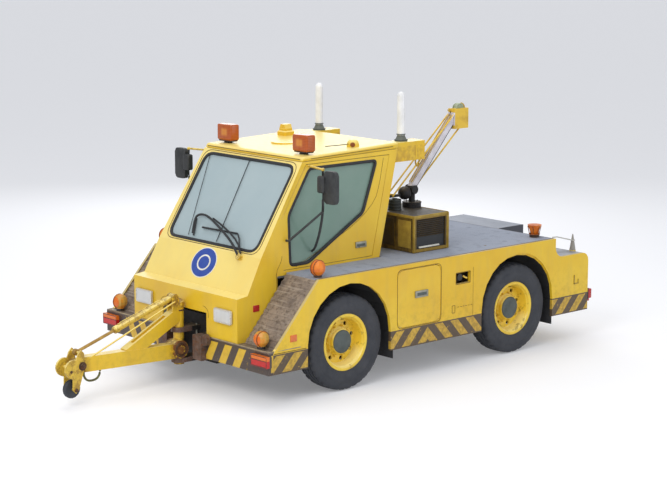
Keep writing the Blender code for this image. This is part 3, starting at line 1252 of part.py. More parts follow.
def front_axle():
    """Front beam whose forked ends hold the kingpins."""
    z = TYRE_RADIUS
    reach = KNUCKLE_HALF + YOKE_THICKNESS
    beam = axle(0, AXLE_END_X, "front_axle")
    for side in (-1, 1):
        low_x = min(side * (AXLE_END_X - CROSS_HALF), side * (AXLE_END_X - SWING_GAP))
        high_x = max(side * (AXLE_END_X - CROSS_HALF), side * (AXLE_END_X - SWING_GAP))
        unite(beam, box("fork_back", (low_x, -AXLE_HALF_SIZE, z - reach),
                        (high_x, AXLE_HALF_SIZE, z + reach)))
        for level in (-1, 1):
            near = z + level * (KNUCKLE_HALF + SEAT_GAP)
            far = z + level * reach
            low = (min(low_x, side * KINGPIN_X), -KNUCKLE_RADIUS, min(near, far))
            high = (max(high_x, side * KINGPIN_X), KNUCKLE_RADIUS, max(near, far))
            end_low = (side * KINGPIN_X, 0, min(near, far))
            end_high = (side * KINGPIN_X, 0, max(near, far))
            unite(beam, box("fork", low, high), rod("fork_end", end_low, end_high, KNUCKLE_RADIUS))
    return beam


def rear_axle():
    """Rear beam with the stubs that carry the wheels."""
    z = TYRE_RADIUS
    end = WHEEL_MIDDLE_X - HUB_TAIL - SWING_GAP
    beam = axle(WHEELBASE, end, "rear_axle")
    for side in (-1, 1):
        stub_root = (side * (end - CROSS_HALF), WHEELBASE, z)
        stub_end = (side * (WHEEL_MIDDLE_X + STUB_RADIUS - SWING_GAP), WHEELBASE, z)
        unite(beam, rod("stub", stub_root, stub_end, STUB_RADIUS, STUB_SEGMENTS))
    return beam


def knuckle():
    """Upright on the kingpin with the stub that carries the wheel."""
    z = TYRE_RADIUS
    body = rod("knuckle", (KINGPIN_X, 0, z - KNUCKLE_HALF), (KINGPIN_X, 0, z + KNUCKLE_HALF), KNUCKLE_RADIUS)
    stub_end = (WHEEL_MIDDLE_X + STUB_RADIUS - SWING_GAP, 0, z)
    return unite(body, rod("stub", (KINGPIN_X, 0, z), stub_end, STUB_RADIUS, STUB_SEGMENTS))


def tyre_profile():
    """Outer side of the tyre from outboard to inboard, then along the rim seat."""
    bead = BEAD_WIDTH / 2
    half = TYRE_WIDTH / 2
    seat = RIM_SEAT_RADIUS + SEAT_GAP
    # Columns: share of the half width past the bead, share of the way from seat to tread
    side_shares = ((0.0, 0.12), (0.7, 0.22), (1.0, 0.48), (0.9, 0.80), (0.35, 0.97), (-0.6, 1.0))
    deep = TYRE_RADIUS - seat
    outer = [(seat + rise * deep, bead - SEAT_GAP + out * (half - bead)) for out, rise in side_shares]
    start = [(seat, bead - SEAT_GAP)]
    mirror_side = [(radius, -along) for radius, along in reversed(start + outer)]
    return start + outer + mirror_side


def rim_profile():
    """Deep-dished rim from the hub cap, over both flanges and back to the bore for the stub."""
    bead = BEAD_WIDTH / 2
    flange = bead + RIM_FLANGE_WIDTH
    under = RIM_SEAT_RADIUS - RIM_WALL
    disc_out = -DISC_SETBACK
    disc_in = disc_out - DISC_THICKNESS
    return [(0, HUB_REACH), (HUB_RADIUS - HUB_CHAMFER, HUB_REACH), (HUB_RADIUS, HUB_REACH - HUB_CHAMFER),
            (HUB_RADIUS, disc_out + HUB_CHAMFER), (DISC_RADIUS, disc_out), (under, bead - RIM_WALL),
            (under, flange), (RIM_FLANGE_RADIUS, flange), (RIM_FLANGE_RADIUS, bead), (RIM_SEAT_RADIUS, bead),
            (RIM_SEAT_RADIUS, -bead), (RIM_FLANGE_RADIUS, -bead), (RIM_FLANGE_RADIUS, -flange),
            (under, -flange), (under, disc_in), (HUB_RADIUS, disc_in),
            (HUB_RADIUS * HUB_TAIL_SHARE, -HUB_TAIL), (BORE_RADIUS, -HUB_TAIL),
            (BORE_RADIUS, STUB_RADIUS), (0, STUB_RADIUS)]


def wheel(stem, x_side, y, carrier):
    """Tyre and rim of one wheel."""
    centre = (x_side * WHEEL_MIDDLE_X, y, TYRE_RADIUS)
    finish(turned("tyre_" + stem, tyre_profile(), centre, x_side, WHEEL_SEGMENTS), RUBBER, carrier)
    rim = turned("rim_" + stem, rim_profile(), centre, x_side, WHEEL_SEGMENTS)
    low = x_side * (WHEEL_MIDDLE_X - CUT_OVERRUN * 2)
    high = x_side * (WHEEL_MIDDLE_X + CUT_OVERRUN)
    for i in range(HAND_HOLE_COUNT):
        angle = 2 * math.pi * (i + HAND_HOLE_SHARE) / HAND_HOLE_COUNT
        hole_y = y + HAND_HOLE_PITCH * math.cos(angle)
        hole_z = TYRE_RADIUS + HAND_HOLE_PITCH * math.sin(angle)
        hole = rod("hand_hole", (low, hole_y, hole_z), (high, hole_y, hole_z), HAND_HOLE_RADIUS,
                   HOLE_SEGMENTS)
        cut(rim, hole)
    finish(flatten(rim), YELLOW, carrier)


def slab(name, start, end, half_depth, half_width):
    """A flat bar between two points (y, z) of the middle plane."""
    a = Vector(start)
    b = Vector(end)
    across = Vector((-(b - a).y, (b - a).x)).normalized() * half_depth
    corners = [a + across, a - across, b - across, b + across]
    return plate(name, [(c.x, c.y) for c in corners], -half_width, half_width, SIDE)


def tow_arm():
    """Post, tapered beam, diagonal brace, foot lug and the lugs for cylinder and head."""
    post = rod("tow_arm", (0, POST_Y, POST_LOW), (0, POST_Y, POST_TOP), POST_RADIUS, STUB_SEGMENTS)
    top = ball("post_ball", (0, POST_Y, POST_TOP), POST_BALL_RADIUS)
    outline = [(BEAM_ROOT_Y, BEAM_ROOT_LOW), (BEAM_ROOT_Y, BEAM_ROOT_HIGH), (BEAM_TIP_Y, BEAM_TIP_HIGH),
               (BEAM_TIP_Y, BEAM_TIP_LOW)]
    beam = plate("beam", outline, -BEAM_HALF, BEAM_HALF, SIDE)
    head = Vector((BRACE_TOP_Y, BRACE_TOP_HEIGHT - BRACE_HALF_DEPTH))
    foot = Vector((BRACE_FOOT_Y, BRACE_FOOT_HEIGHT))
    along = (foot - head).normalized()
    upward = Vector((along.y, -along.x)) * BRACE_HALF_DEPTH
    brace = slab("brace", head, foot, BRACE_HALF_DEPTH, BEAM_HALF * BRACE_WIDTH_SHARE)
    groove_head = head + along * (3 * POST_RADIUS) + upward
    groove_foot = foot - along * (2 * BEAM_HALF) + upward
    groove = slab("groove", groove_head, groove_foot, BRACE_HALF_DEPTH * GROOVE_DEPTH_SHARE,
                  BEAM_HALF * GROOVE_WIDTH_SHARE)
    cut(brace, groove)
    unite(post, beam)
    unite(post, brace)
    unite(post, top)
    for side in (-1, 1):
        low = side * ARM_LUG_X - ARM_LUG_THICKNESS / 2
        high = side * ARM_LUG_X + ARM_LUG_THICKNESS / 2
        ear = arc((ARM_LUG_Y, ARM_LUG_HEIGHT), ARM_LUG_RADIUS, 0, 180, EAR_STEPS)
        ear_low = POST_TOP - 2 * POST_RADIUS
        ear += [(ARM_LUG_Y - ARM_LUG_RADIUS, ear_low), (POST_Y, ear_low)]
        unite(post, plate("ear", ear, low, high, SIDE))
    lug_height = BEAM_ROOT_LOW + FOOT_LUG_RADIUS + SEAT_GAP
    unite(post, rod("foot_lug", (-FOOT_LUG_HALF, FOOT_LUG_Y, lug_height),
                    (FOOT_LUG_HALF, FOOT_LUG_Y, lug_height), FOOT_LUG_RADIUS, STUB_SEGMENTS),
          rod("foot_nut", (-FOOT_NUT_HALF, FOOT_LUG_Y, lug_height), (FOOT_NUT_HALF, FOOT_LUG_Y, lug_height),
              FOOT_NUT_RADIUS, HOLE_SEGMENTS))
    boss = BEAM_HALF + SWING_GAP
    unite(post, rod("tip_boss", (-boss, HEAD_PIN_Y, HEAD_PIN_HEIGHT), (boss, HEAD_PIN_Y, HEAD_PIN_HEIGHT),
                    TIP_BOSS_RADIUS))
    bore = (PIN_RADIUS + TURN_FIT) / math.cos(math.pi / ROUND_SEGMENTS)
    cut(post, rod("tip_bore", (-2 * BEAM_HALF, HEAD_PIN_Y, HEAD_PIN_HEIGHT),
                  (2 * BEAM_HALF, HEAD_PIN_Y, HEAD_PIN_HEIGHT), bore))
    return post


def tow_head():
    """Two cheek plates on the beam's end, with the cylinder ears and the roller yoke."""
    pin_low = CHEEK_X + CHEEK_THICKNESS / 2
    body = rod("tow_head", (-pin_low, HEAD_PIN_Y, HEAD_PIN_HEIGHT), (pin_low, HEAD_PIN_Y, HEAD_PIN_HEIGHT),
               PIN_RADIUS)
    root_y = HEAD_PIN_Y + 2 * PIN_RADIUS
    web = [(root_y, HEAD_PIN_HEIGHT - 2 * PIN_RADIUS), (root_y, HEAD_PIN_HEIGHT + PIN_RADIUS),
           (HEAD_EYE_Y + EYE_RADIUS, HEAD_EYE_HEIGHT), (HEAD_EYE_Y, HEAD_EYE_HEIGHT + EYE_RADIUS),
           (HEAD_EYE_Y - EYE_RADIUS, HEAD_EYE_HEIGHT), (CHEEK_Y, CHEEK_HEIGHT),
           (ROLLER_Y - EYE_RADIUS, ROLLER_HEIGHT), (ROLLER_Y, ROLLER_HEIGHT - EYE_RADIUS),
           (ROLLER_Y + EYE_RADIUS, ROLLER_HEIGHT)]
    disc = circle((CHEEK_Y, CHEEK_HEIGHT), CHEEK_RADIUS, WIDE_SEGMENTS)
    for side in (-1, 1):
        low = side * CHEEK_X - CHEEK_THICKNESS / 2
        high = side * CHEEK_X + CHEEK_THICKNESS / 2
        unite(body, plate("web", web, low, high, SIDE),
              plate("cheek", disc, low - CHEEK_RISE, high + CHEEK_RISE, SIDE))
    # Columns: name, y, height, radius
    pins = (("eye_pin", HEAD_EYE_Y, HEAD_EYE_HEIGHT, PIN_RADIUS),
            ("jaw_pin", CHEEK_Y, CHEEK_HEIGHT, PIN_RADIUS * JAW_PIN_SHARE),
            ("roller_pin", ROLLER_Y, ROLLER_HEIGHT, PIN_RADIUS))
    for name, y, height, radius in pins:
        unite(body, rod(name, (-CHEEK_X, y, height), (CHEEK_X, y, height), radius))
    return body


def cylinder_line():
    """Foot eye, rod eye and direction of the tow arm's cylinder."""
    start = Vector((0, ARM_LUG_Y, ARM_LUG_HEIGHT))
    end = Vector((0, HEAD_EYE_Y, HEAD_EYE_HEIGHT))
    return start, end, (end - start).normalized()


def tow_cylinder():
    """Barrel with its eye on the arm's lugs, bored for the rod."""
    start, end, along = cylinder_line()
    reach = (end - start).length
    eye_half = ARM_LUG_X - ARM_LUG_THICKNESS / 2 - SEAT_GAP
    barrel = rod("tow_cylinder", start + along * (EYE_RADIUS * EYE_SINK_SHARE),
                 start + along * (reach * CYLINDER_SHARE), CYLINDER_RADIUS)
    eye = rod("eye", start - Vector((eye_half, 0, 0)), start + Vector((eye_half, 0, 0)), EYE_RADIUS)
    bore = ROD_RADIUS + SEAT_GAP
    unite(barrel, eye)
    cut(barrel, rod("rod_bore", start + along * (reach * CYLINDER_SHARE / 2), start + along * reach, bore))
    return barrel


def tow_rod():
    """Rod of the cylinder with the eye that meets the head's pin."""
    start, end, along = cylinder_line()
    reach = (end - start).length
    rod_body = rod("tow_rod", start + along * (reach * CYLINDER_SHARE * ROD_START_SHARE),
                   end - along * (EYE_RADIUS * EYE_SINK_SHARE), ROD_RADIUS)
    eye_bore = (PIN_RADIUS + EYE_PLAY) / math.cos(math.pi / ROUND_SEGMENTS)
    unite(rod_body, rod("eye", end - Vector((EYE_HALF, 0, 0)), end + Vector((EYE_HALF, 0, 0)), EYE_RADIUS))
    across = Vector((2 * EYE_HALF, 0, 0))
    cut(rod_body, rod("eye_bore", end - across, end + across, eye_bore))
    return rod_body


def roller():
    """Rubber roller under the tow head, bored for its pin."""
    half = ROLLER_WIDTH / 2
    bore = (PIN_RADIUS + TURN_FIT) / math.cos(math.pi / ROUND_SEGMENTS)
    edge = ROLLER_RADIUS - half / 3
    profile = [(bore, half), (edge, half), (ROLLER_RADIUS, half / 2), (ROLLER_RADIUS, -half / 2),
               (edge, -half), (bore, -half)]
    return turned("tow_roller", profile, (0, ROLLER_Y, ROLLER_HEIGHT), 1, ROLLER_SEGMENTS)


def build():
    """Place every piece on the vehicle or on the empty of the joint that moves it."""
    vehicle = empty("vehicle", (0, 0, 0))
    vehicle.location = (0, -MIDDLE_Y, 0)
    doors = [empty("cab_door_hinge_" + s, (x * DOOR_HINGE_X, DOOR_FRONT_Y + SEAT_GAP, DOOR_LOW), vehicle)
             for s, x in (("left", 1), ("right", -1))]
    lids = [empty("access_door_hinge_" + s, (x * BODY_HALF, BAY_FRONT_Y + SEAT_GAP, BAY_LOW), vehicle)
            for s, x in (("left", 1), ("right", -1))]
    pins = [empty("kingpin_" + s, (x * KINGPIN_X, 0, TYRE_RADIUS), vehicle)
            for s, x in (("left", 1), ("right", -1))]
    swing = empty("tow_arm_pivot", (0, POST_Y, BEAM_ROOT_LOW), vehicle)
    tilt = empty("tow_head_pivot", (0, HEAD_PIN_Y, HEAD_PIN_HEIGHT), swing)
    ram = empty("tow_cylinder_pivot", (0, ARM_LUG_Y, ARM_LUG_HEIGHT), swing)
    slew = empty("hoist_slew", (HOIST_X, HOIST_Y, BOX_TOP), vehicle)
    both = (vehicle, vehicle)

    finish(chassis(), FRAME_BLACK, vehicle)
    finish(engine(), FRAME_BLACK, vehicle)
    pair(side_skin(), "side_panel", YELLOW, both)
    finish(deck(), DECK_GREY, vehicle)
    pair(ramp(), "ramp", TREAD_BROWN, both)
    finish(bumper(), YELLOW, vehicle)
    finish(tail(), YELLOW, vehicle)
    pair(mud_flap(), "mud_flap", RUBBER, both)
    finish(nose(), YELLOW, vehicle)
    finish(cab_shell(), YELLOW, vehicle)
    finish(cab_tub(), FRAME_BLACK, vehicle)
    finish(roof(), YELLOW, vehicle)
    _, length, _ = screen_frame()
    tall = length - 2 * SCREEN_MARGIN - 2 * SEAT_GAP
    finish(screen_pane("windscreen", SCREEN_HALF - SEAT_GAP, tall, SCREEN_CORNER,
                       -2 * GLASS_THICKNESS, -GLASS_THICKNESS), GLASS, vehicle)
    rear_glass = rear_pane("rear_window", REAR_GLASS_HALF - SEAT_GAP, REAR_GLASS_LOW + SEAT_GAP,
                           REAR_GLASS_HIGH - SEAT_GAP, REAR_GLASS_CORNER, -2 * GLASS_THICKNESS,
                           -GLASS_THICKNESS)
    finish(rear_glass, GLASS, vehicle)
    pair(seat(), "seat", CUSHION, both)
    finish(console(), FRAME_BLACK, vehicle)
    pair(headlamp(), "headlamp", LAMP_WHITE, both)
    pair(beacon(), "roof_beacon", AMBER, both)
    pair(tube_lamp(), "tube_lamp", LAMP_WHITE, both)
    finish(generator(), BOX_OCHRE, vehicle)
    finish(front_axle(), FRAME_BLACK, vehicle)
    finish(rear_axle(), FRAME_BLACK, vehicle)

    pair(cab_door(), "cab_door", YELLOW, doors)
    pair(door_glass(), "door_glass", GLASS, doors)
    pair(mirror(), "mirror", RUBBER, doors)
    pair(access_door(), "access_door", YELLOW, lids)
    pair(knuckle(), "knuckle", FRAME_BLACK, pins)

    # Columns: name, side, distance behind the front axle, what carries it
    wheels = (("front_left", 1, 0, pins[0]), ("front_right", -1, 0, pins[1]),
              ("rear_left", 1, WHEELBASE, vehicle), ("rear_right", -1, WHEELBASE, vehicle))
    for stem, side, y, carrier in wheels:
        spin = empty("hub_" + stem, (side * WHEEL_MIDDLE_X, y, TYRE_RADIUS), carrier)
        wheel(stem, side, y, spin)

    finish(tow_arm(), YELLOW, swing)
    finish(tow_head(), YELLOW, tilt)
    finish(tow_cylinder(), YELLOW, ram)
    finish(tow_rod(), STEEL, ram)
    finish(roller(), RUBBER, empty("roller_pivot", (0, ROLLER_Y, ROLLER_HEIGHT), tilt))
    finish(hoist_mast(), HOIST_GREY, slew)
    finish(hoist_boom(), BOOM_WHITE, slew)


build()
bpy.context.view_layer.update()
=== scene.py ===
"""Looks of the pushback tractor: finishes, glass, tyres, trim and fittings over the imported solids.

Places are given as in the part's source: metres, y = 0 at the front axle, front towards -Y and the
left side +X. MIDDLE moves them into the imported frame.
"""
import math

import bmesh
import bpy
from mathutils import Matrix, Vector


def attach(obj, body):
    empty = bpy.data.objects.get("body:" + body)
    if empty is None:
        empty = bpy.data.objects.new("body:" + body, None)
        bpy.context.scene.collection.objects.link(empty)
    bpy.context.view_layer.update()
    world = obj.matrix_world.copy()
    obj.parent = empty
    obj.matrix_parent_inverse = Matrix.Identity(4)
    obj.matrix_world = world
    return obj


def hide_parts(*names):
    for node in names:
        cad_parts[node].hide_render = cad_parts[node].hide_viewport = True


# Sizes of the part, as in its source
MIDDLE = 0.59
WHEELBASE = 2.613
AXLE_HEIGHT = 0.525
WHEEL_X = 1.263
NOSE_HALF = 0.915
# The cab's sides lean inward by LEAN for each metre above LEAN_START
LEAN = 0.052
LEAN_START = 1.10
SCREEN_FOOT = Vector((0, -0.775, 1.465))
SCREEN_TOP = Vector((0, -0.155, 2.43))
SLOPE_FOOT = Vector((0, -0.977, 1.095))
REAR_FOOT = Vector((0, 0.916, 1.25))
REAR_SLOPE = 0.2797
# The side panels' skin, with a hair of clearance, the top of the deck and of the striped band
SIDE_SKIN = 1.4435
DECK_TOP = 1.2775
BAND_TOP = 0.563
BOOM_FOOT = Vector((0.50, 1.79, 1.92))

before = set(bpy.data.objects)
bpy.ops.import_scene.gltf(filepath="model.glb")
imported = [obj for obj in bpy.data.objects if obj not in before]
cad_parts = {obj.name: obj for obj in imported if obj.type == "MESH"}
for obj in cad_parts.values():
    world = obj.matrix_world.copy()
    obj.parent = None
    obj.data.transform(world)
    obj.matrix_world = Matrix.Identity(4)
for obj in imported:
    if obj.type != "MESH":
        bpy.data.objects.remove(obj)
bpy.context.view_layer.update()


# Shader arithmetic

class Value:
    """A socket of a paint's node tree that can be added, multiplied and compared."""

    def __init__(self, paint, socket):
        self.paint = paint
        self.socket = socket

    def math(self, operation, *others, clamp=False):
        inputs = dict(enumerate((self, *others)))
        made = self.paint.node("ShaderNodeMath", {"operation": operation, "use_clamp": clamp}, inputs)
        return Value(self.paint, made.outputs[0])

    def __add__(self, other):
        return self.math("ADD", other)

    def __sub__(self, other):
        return self.math("SUBTRACT", other)

    def __rsub__(self, other):
        return (self * -1) + other

    def __mul__(self, other):
        return self.math("MULTIPLY", other)

    def __abs__(self):
        return self.math("ABSOLUTE")

    def __and__(self, other):
        return self.math("MULTIPLY", other)

    def __or__(self, other):
        return self.math("MAXIMUM", other)

    def __invert__(self):
        return 1 - self

    def above(self, edge, soft=0.002):
        """0 below the edge and 1 above it, with a soft step."""
        return ((self - edge) * (1 / soft)).math("ADD", 0.5, clamp=True)

    def below(self, edge, soft=0.002):
        return ~self.above(edge, soft)

    def between(self, low, high, soft=0.002):
        return self.above(low, soft) & self.below(high, soft)


class Paint:
    """One procedural material."""

    def __init__(self, name):
        self.material = bpy.data.materials.new(name)
        self.material.use_nodes = True
        self.tree = self.material.node_tree
        self.shader = self.tree.nodes["Principled BSDF"]
        self.place = Value(self, self.node("ShaderNodeTexCoord").outputs["Object"])
        split = self.node("ShaderNodeSeparateXYZ", {}, {0: self.place})
        self.x = Value(self, split.outputs[0])
        self.y = Value(self, split.outputs[1]) + MIDDLE
        self.z = Value(self, split.outputs[2])
        self.side = abs(self.x)
        self.tone = None

    def node(self, kind, settings=None, inputs=None):
        made = self.tree.nodes.new(kind)
        for key, value in (settings or {}).items():
            setattr(made, key, value)
        for key, value in (inputs or {}).items():
            self.feed(made.inputs[key], value)
        return made

    def feed(self, socket, value):
        if isinstance(value, Value):
            self.tree.links.new(value.socket, socket)
        else:
            socket.default_value = value

    def stretched(self, scale):
        """The position, scaled differently along each axis."""
        made = self.node("ShaderNodeMapping", {}, {"Vector": self.place, "Scale": scale})
        return Value(self, made.outputs[0])

    def noise(self, scale, detail=3.0, place=None, rough=0.55):
        made = self.node("ShaderNodeTexNoise", {}, {"Vector": place or self.place, "Scale": scale,
                                                    "Detail": detail, "Roughness": rough})
        return Value(self, made.outputs[0])

    def patches(self, scale, detail, edge, soft, rough=0.55):
        """Where a noise rises above an edge."""
        return self.noise(scale, detail, rough=rough).above(edge, soft)

    def waves(self, scale, along):
        """Soft bands whose number per metre is scale, along a value."""
        return (along * (scale * 2 * math.pi)).math("SINE") * 0.5 + 0.5

    def mix(self, share, first, second):
        """The first colour where share is 0 and the second where it is 1."""
        made = self.node("ShaderNodeMix", {"data_type": "RGBA"},
                         {0: share, 6: color(first), 7: color(second)})
        return Value(self, made.outputs[2])

    def lay(self, share, layer):
        """Cover the paint's own colour with another where share is 1."""
        self.tone = self.mix(share, self.tone, layer)

    def up(self):
        """How far the surface faces up, from -1 to 1."""
        return self.facing(2)

    def facing(self, axis):
        """How far the surface faces along an axis, from -1 to 1."""
        normal = Value(self, self.node("ShaderNodeNewGeometry").outputs["Normal"])
        split = self.node("ShaderNodeSeparateXYZ", {}, {0: normal})
        return Value(self, split.outputs[axis])

    def finish(self, rough, height=None, strength=0.25, distance=0.002, metal=0.0, **constants):
        self.feed(self.shader.inputs["Base Color"], color(self.tone))
        self.feed(self.shader.inputs["Roughness"], rough)
        self.feed(self.shader.inputs["Metallic"], metal)
        if height is not None:
            bump = self.node("ShaderNodeBump", {},
                             {"Strength": strength, "Distance": distance, "Height": height})
            self.tree.links.new(bump.outputs[0], self.shader.inputs["Normal"])
        for key, value in constants.items():
            self.shader.inputs[key.replace("_", " ")].default_value = value
        return self.material


def color(value):
    """A colour given as 0 to 255 screen values becomes linear; a socket stays as it is."""
    if isinstance(value, Value):
        return value
    linear = [((c / 255 + 0.055) / 1.055) ** 2.4 if c > 10 else c / 255 / 12.92 for c in value]
    return (*linear, 1.0)


# Colours as seen on screen, 0 to 255
YELLOW = (220, 174, 24)
YELLOW_PALE = (230, 192, 46)
# Painted highlight: the pale yellow laid on surfaces that face up
YELLOW_TOPLIT = (248, 230, 150)
BLACK = (26, 26, 28)
DUST = (150, 132, 104)
GRIME = (70, 56, 40)
RUST = (110, 62, 30)
DECK = (142, 149, 163)
DECK_DARK = (92, 96, 106)
TREAD = (126, 112, 100)
STRIPE_DARK = (72, 60, 54)
UNLIT = (34, 32, 30)
RUBBER = (38, 42, 50)
ORANGE = (222, 110, 26)
RED = (190, 26, 24)
# Where the chevrons on the sides meet, along the vehicle
BAND_MIDDLE = 1.16


def worn_paint(paint, base=YELLOW, pale=YELLOW_PALE, low_grime=1.0):
    """Faded, rain-streaked and chipped paint, painted paler where it faces up as a painted highlight. Returns
    its roughness and height.
    """
    fade = paint.noise(1.1, 4.0)
    paint.tone = paint.mix(fade.between(0.42, 0.75, 0.3), base, pale)
    streaks = paint.noise(7.0, 3.0, paint.stretched((1.2, 1.2, 0.16)))
    paint.lay(streaks.above(0.58, 0.2) * 0.10, DUST)
    blotches = paint.noise(14.0, 5.0, rough=0.7)
    low = paint.z.below(0.72, 0.6)
    grime = (blotches.above(0.56, 0.2) & low) * (0.26 * low_grime)
    paint.lay(grime, GRIME)
    # Painted highlight: surfaces that face up are painted paler, as if lit from above
    paint.lay(paint.up().above(0.38, 0.3) * (fade * 0.5 + 0.42), YELLOW_TOPLIT)
    chips = paint.patches(52.0, 4.0, 0.73, 0.02, 0.65)
    chips = chips & paint.patches(3.0, 2.0, 0.56, 0.1)
    paint.lay(chips * 0.55, RUST)
    rough = blotches * 0.22 + 0.26 + grime * 0.3
    height = paint.noise(120.0, 2.0) * 0.2 - chips * 0.9 + paint.noise(2.0, 2.0) * 1.2
    return rough, height


def stripes(along, height, period=0.245, slope=0.9):
    """Slanting dark bars: 1 in a bar and 0 between bars."""
    phase = ((along + height * slope) * (1 / period)).math("FRACT")
    return phase.between(0.5, 0.999, 0.03)


def yellow_paint():
    paint = Paint("yellow_paint")
    rough, height = worn_paint(paint)
    return paint.finish(rough, height, 0.12, 0.003, Coat_Weight=0.12, Coat_Roughness=0.2)


def inside_shell(paint):
    """1 on the inner faces of the cab, nose and roof skins, which are a depth behind the outer ones."""
    depth = 0.012
    lean = paint.z.math("SUBTRACT", LEAN_START).math("MAXIMUM", 0.0) * LEAN
    inner_side = (paint.side + lean).below(NOSE_HALF - depth)
    rise = paint.z - SCREEN_FOOT.z
    # The skin's front: the nose's face, its upper slope and the windscreen, in metres of y for one of z
    nose_face, nose_lean, screen_lean = -1.12, 0.546, 0.6425
    front = (rise * nose_lean).math("MAXIMUM", rise * screen_lean)
    front = front.math("MAXIMUM", nose_face - SCREEN_FOOT.y) + SCREEN_FOOT.y
    rear = (paint.z - REAR_FOOT.z) * REAR_SLOPE + REAR_FOOT.y
    inner_front = (paint.y - front).above(depth * 1.3)
    inner_rear = (rear - paint.y).above(depth)
    return inner_side & inner_front & inner_rear


def cab_paint():
    paint = Paint("cab_paint")
    rough, height = worn_paint(paint, low_grime=0.3)
    paint.lay(inside_shell(paint), (134, 136, 130))
    return paint.finish(rough, height, 0.12, 0.003, Coat_Weight=0.12, Coat_Roughness=0.2)


def side_paint():
    """Yellow skin, dark wheel housing and striped lower edge."""
    paint = Paint("side_paint")
    rough, height = worn_paint(paint)
    band = paint.z.below(BAND_TOP)
    rear = paint.y.above(2.2)
    chevrons = 0.48 - abs(paint.y - BAND_MIDDLE)
    bars = stripes(rear * paint.y + ~rear * chevrons, paint.z * -1) & band
    edge = paint.z.between(0.549, BAND_TOP) | paint.z.below(0.366)
    wear = paint.noise(22.0, 5.0, rough=0.75).below(0.64, 0.08)
    dark = (bars | (edge & band)) & (wear * 0.9 + 0.1)
    paint.lay(band * 0.55, (186, 146, 62))
    paint.lay(dark * 0.94, STRIPE_DARK)
    paint.lay(band * paint.patches(30.0, 4.0, 0.5, 0.2) * 0.35, GRIME)
    housing = paint.side.below(1.4085)
    paint.lay(housing, (30, 30, 32))
    top_edge = paint.up().above(0.35, 0.1) & paint.z.above(0.62)
    paint.lay(top_edge * 0.55, DUST)
    return paint.finish(rough + housing * 0.3, height, 0.12, 0.003)


def bumper_paint():
    """Worn tread plate, striped aprons, amber ball markers and the two-colour corner lamps."""
    paint = Paint("bumper_paint")
    rough, height = worn_paint(paint)
    bars = stripes(paint.side + 0.06, paint.z, 0.235, -0.55)
    wear = paint.noise(24.0, 5.0, rough=0.75).below(0.66, 0.08)
    plate_low, plate_top = 0.585, 0.606
    apron = paint.z.below(plate_low)
    frame_edge = paint.z.above(0.564) | (paint.y.below(-1.10) & paint.side.above(1.085, 0.01))
    paint.lay(apron * 0.35, (190, 150, 60))
    paint.lay((bars | frame_edge) & wear, STRIPE_DARK)
    plate = paint.mix(paint.patches(18.0, 5.0, 0.5, 0.3), TREAD, (92, 80, 70))
    paint.lay(paint.z.between(plate_low, plate_top), plate)
    marker = paint.z.above(plate_top)
    foot = paint.z.between(plate_top, 0.632)
    amber = paint.mix(paint.patches(9.0, 3.0, 0.50, 0.1), (212, 138, 40), (192, 148, 62))
    paint.lay(marker, amber)
    paint.lay(foot, BLACK)
    lamp = paint.y.below(-1.1335) & paint.side.above(1.19)
    amber_half = paint.z.above(0.515)
    paint.lay(lamp, paint.mix(amber_half, RED, ORANGE))
    # Painted shade: the low faces behind the bumper's front are painted near black, as if unlit
    behind = paint.y.above(-1.06) & paint.z.below(0.57)
    paint.lay(behind, UNLIT)
    return paint.finish(rough - lamp * 0.2, height, 0.15, 0.003)


def deck_paint():
    """Grey anti-slip deck with the amber ball and cone markers fixed to it."""
    paint = Paint("deck_paint")
    patch = paint.noise(1.3, 4.0)
    grain = paint.noise(300.0, 2.0)
    paint.tone = paint.mix(patch.above(0.5, 0.35), DECK, (150, 156, 170))
    paint.lay(paint.patches(7.0, 5.0, 0.60, 0.15, 0.7) * 0.4, DECK_DARK)
    rim = paint.side.above(1.385, 0.02) | paint.y.above(3.235, 0.02)
    paint.lay(rim * 0.5, (96, 90, 86))
    paint.lay(grain.above(0.62, 0.1) * 0.25, (60, 62, 68))
    marker_foot = 1.2795
    marker = paint.z.above(marker_foot)
    amber = paint.mix(paint.patches(9.0, 3.0, 0.5, 0.2), (228, 128, 34), (206, 98, 22))
    paint.lay(marker, amber)
    front_foot = paint.y.below(1.0) & paint.z.between(marker_foot, 1.305)
    rear_foot = paint.y.above(2.0) & paint.z.between(marker_foot, 1.3135)
    paint.lay(front_foot | rear_foot, (58, 40, 26))
    rough = 0.82 - marker * 0.5
    return paint.finish(rough, grain - marker, 0.35, 0.0015)


def tread_paint():
    paint = Paint("tread_paint")
    worn = paint.noise(5.0, 5.0, paint.stretched((1.0, 0.6, 0.6)), 0.7)
    paint.tone = paint.mix(worn.above(0.47, 0.25), (104, 92, 84), (150, 134, 118))
    paint.lay(paint.patches(26.0, 4.0, 0.56, 0.1) * 0.5, GRIME)
    scuffs = paint.noise(12.0, 3.0, paint.stretched((0.2, 3.0, 3.0)))
    paint.lay(scuffs.above(0.6, 0.05) * 0.4, (176, 164, 150))
    return paint.finish(worn * 0.3 + 0.55, paint.noise(90.0, 3.0), 0.4, 0.002)


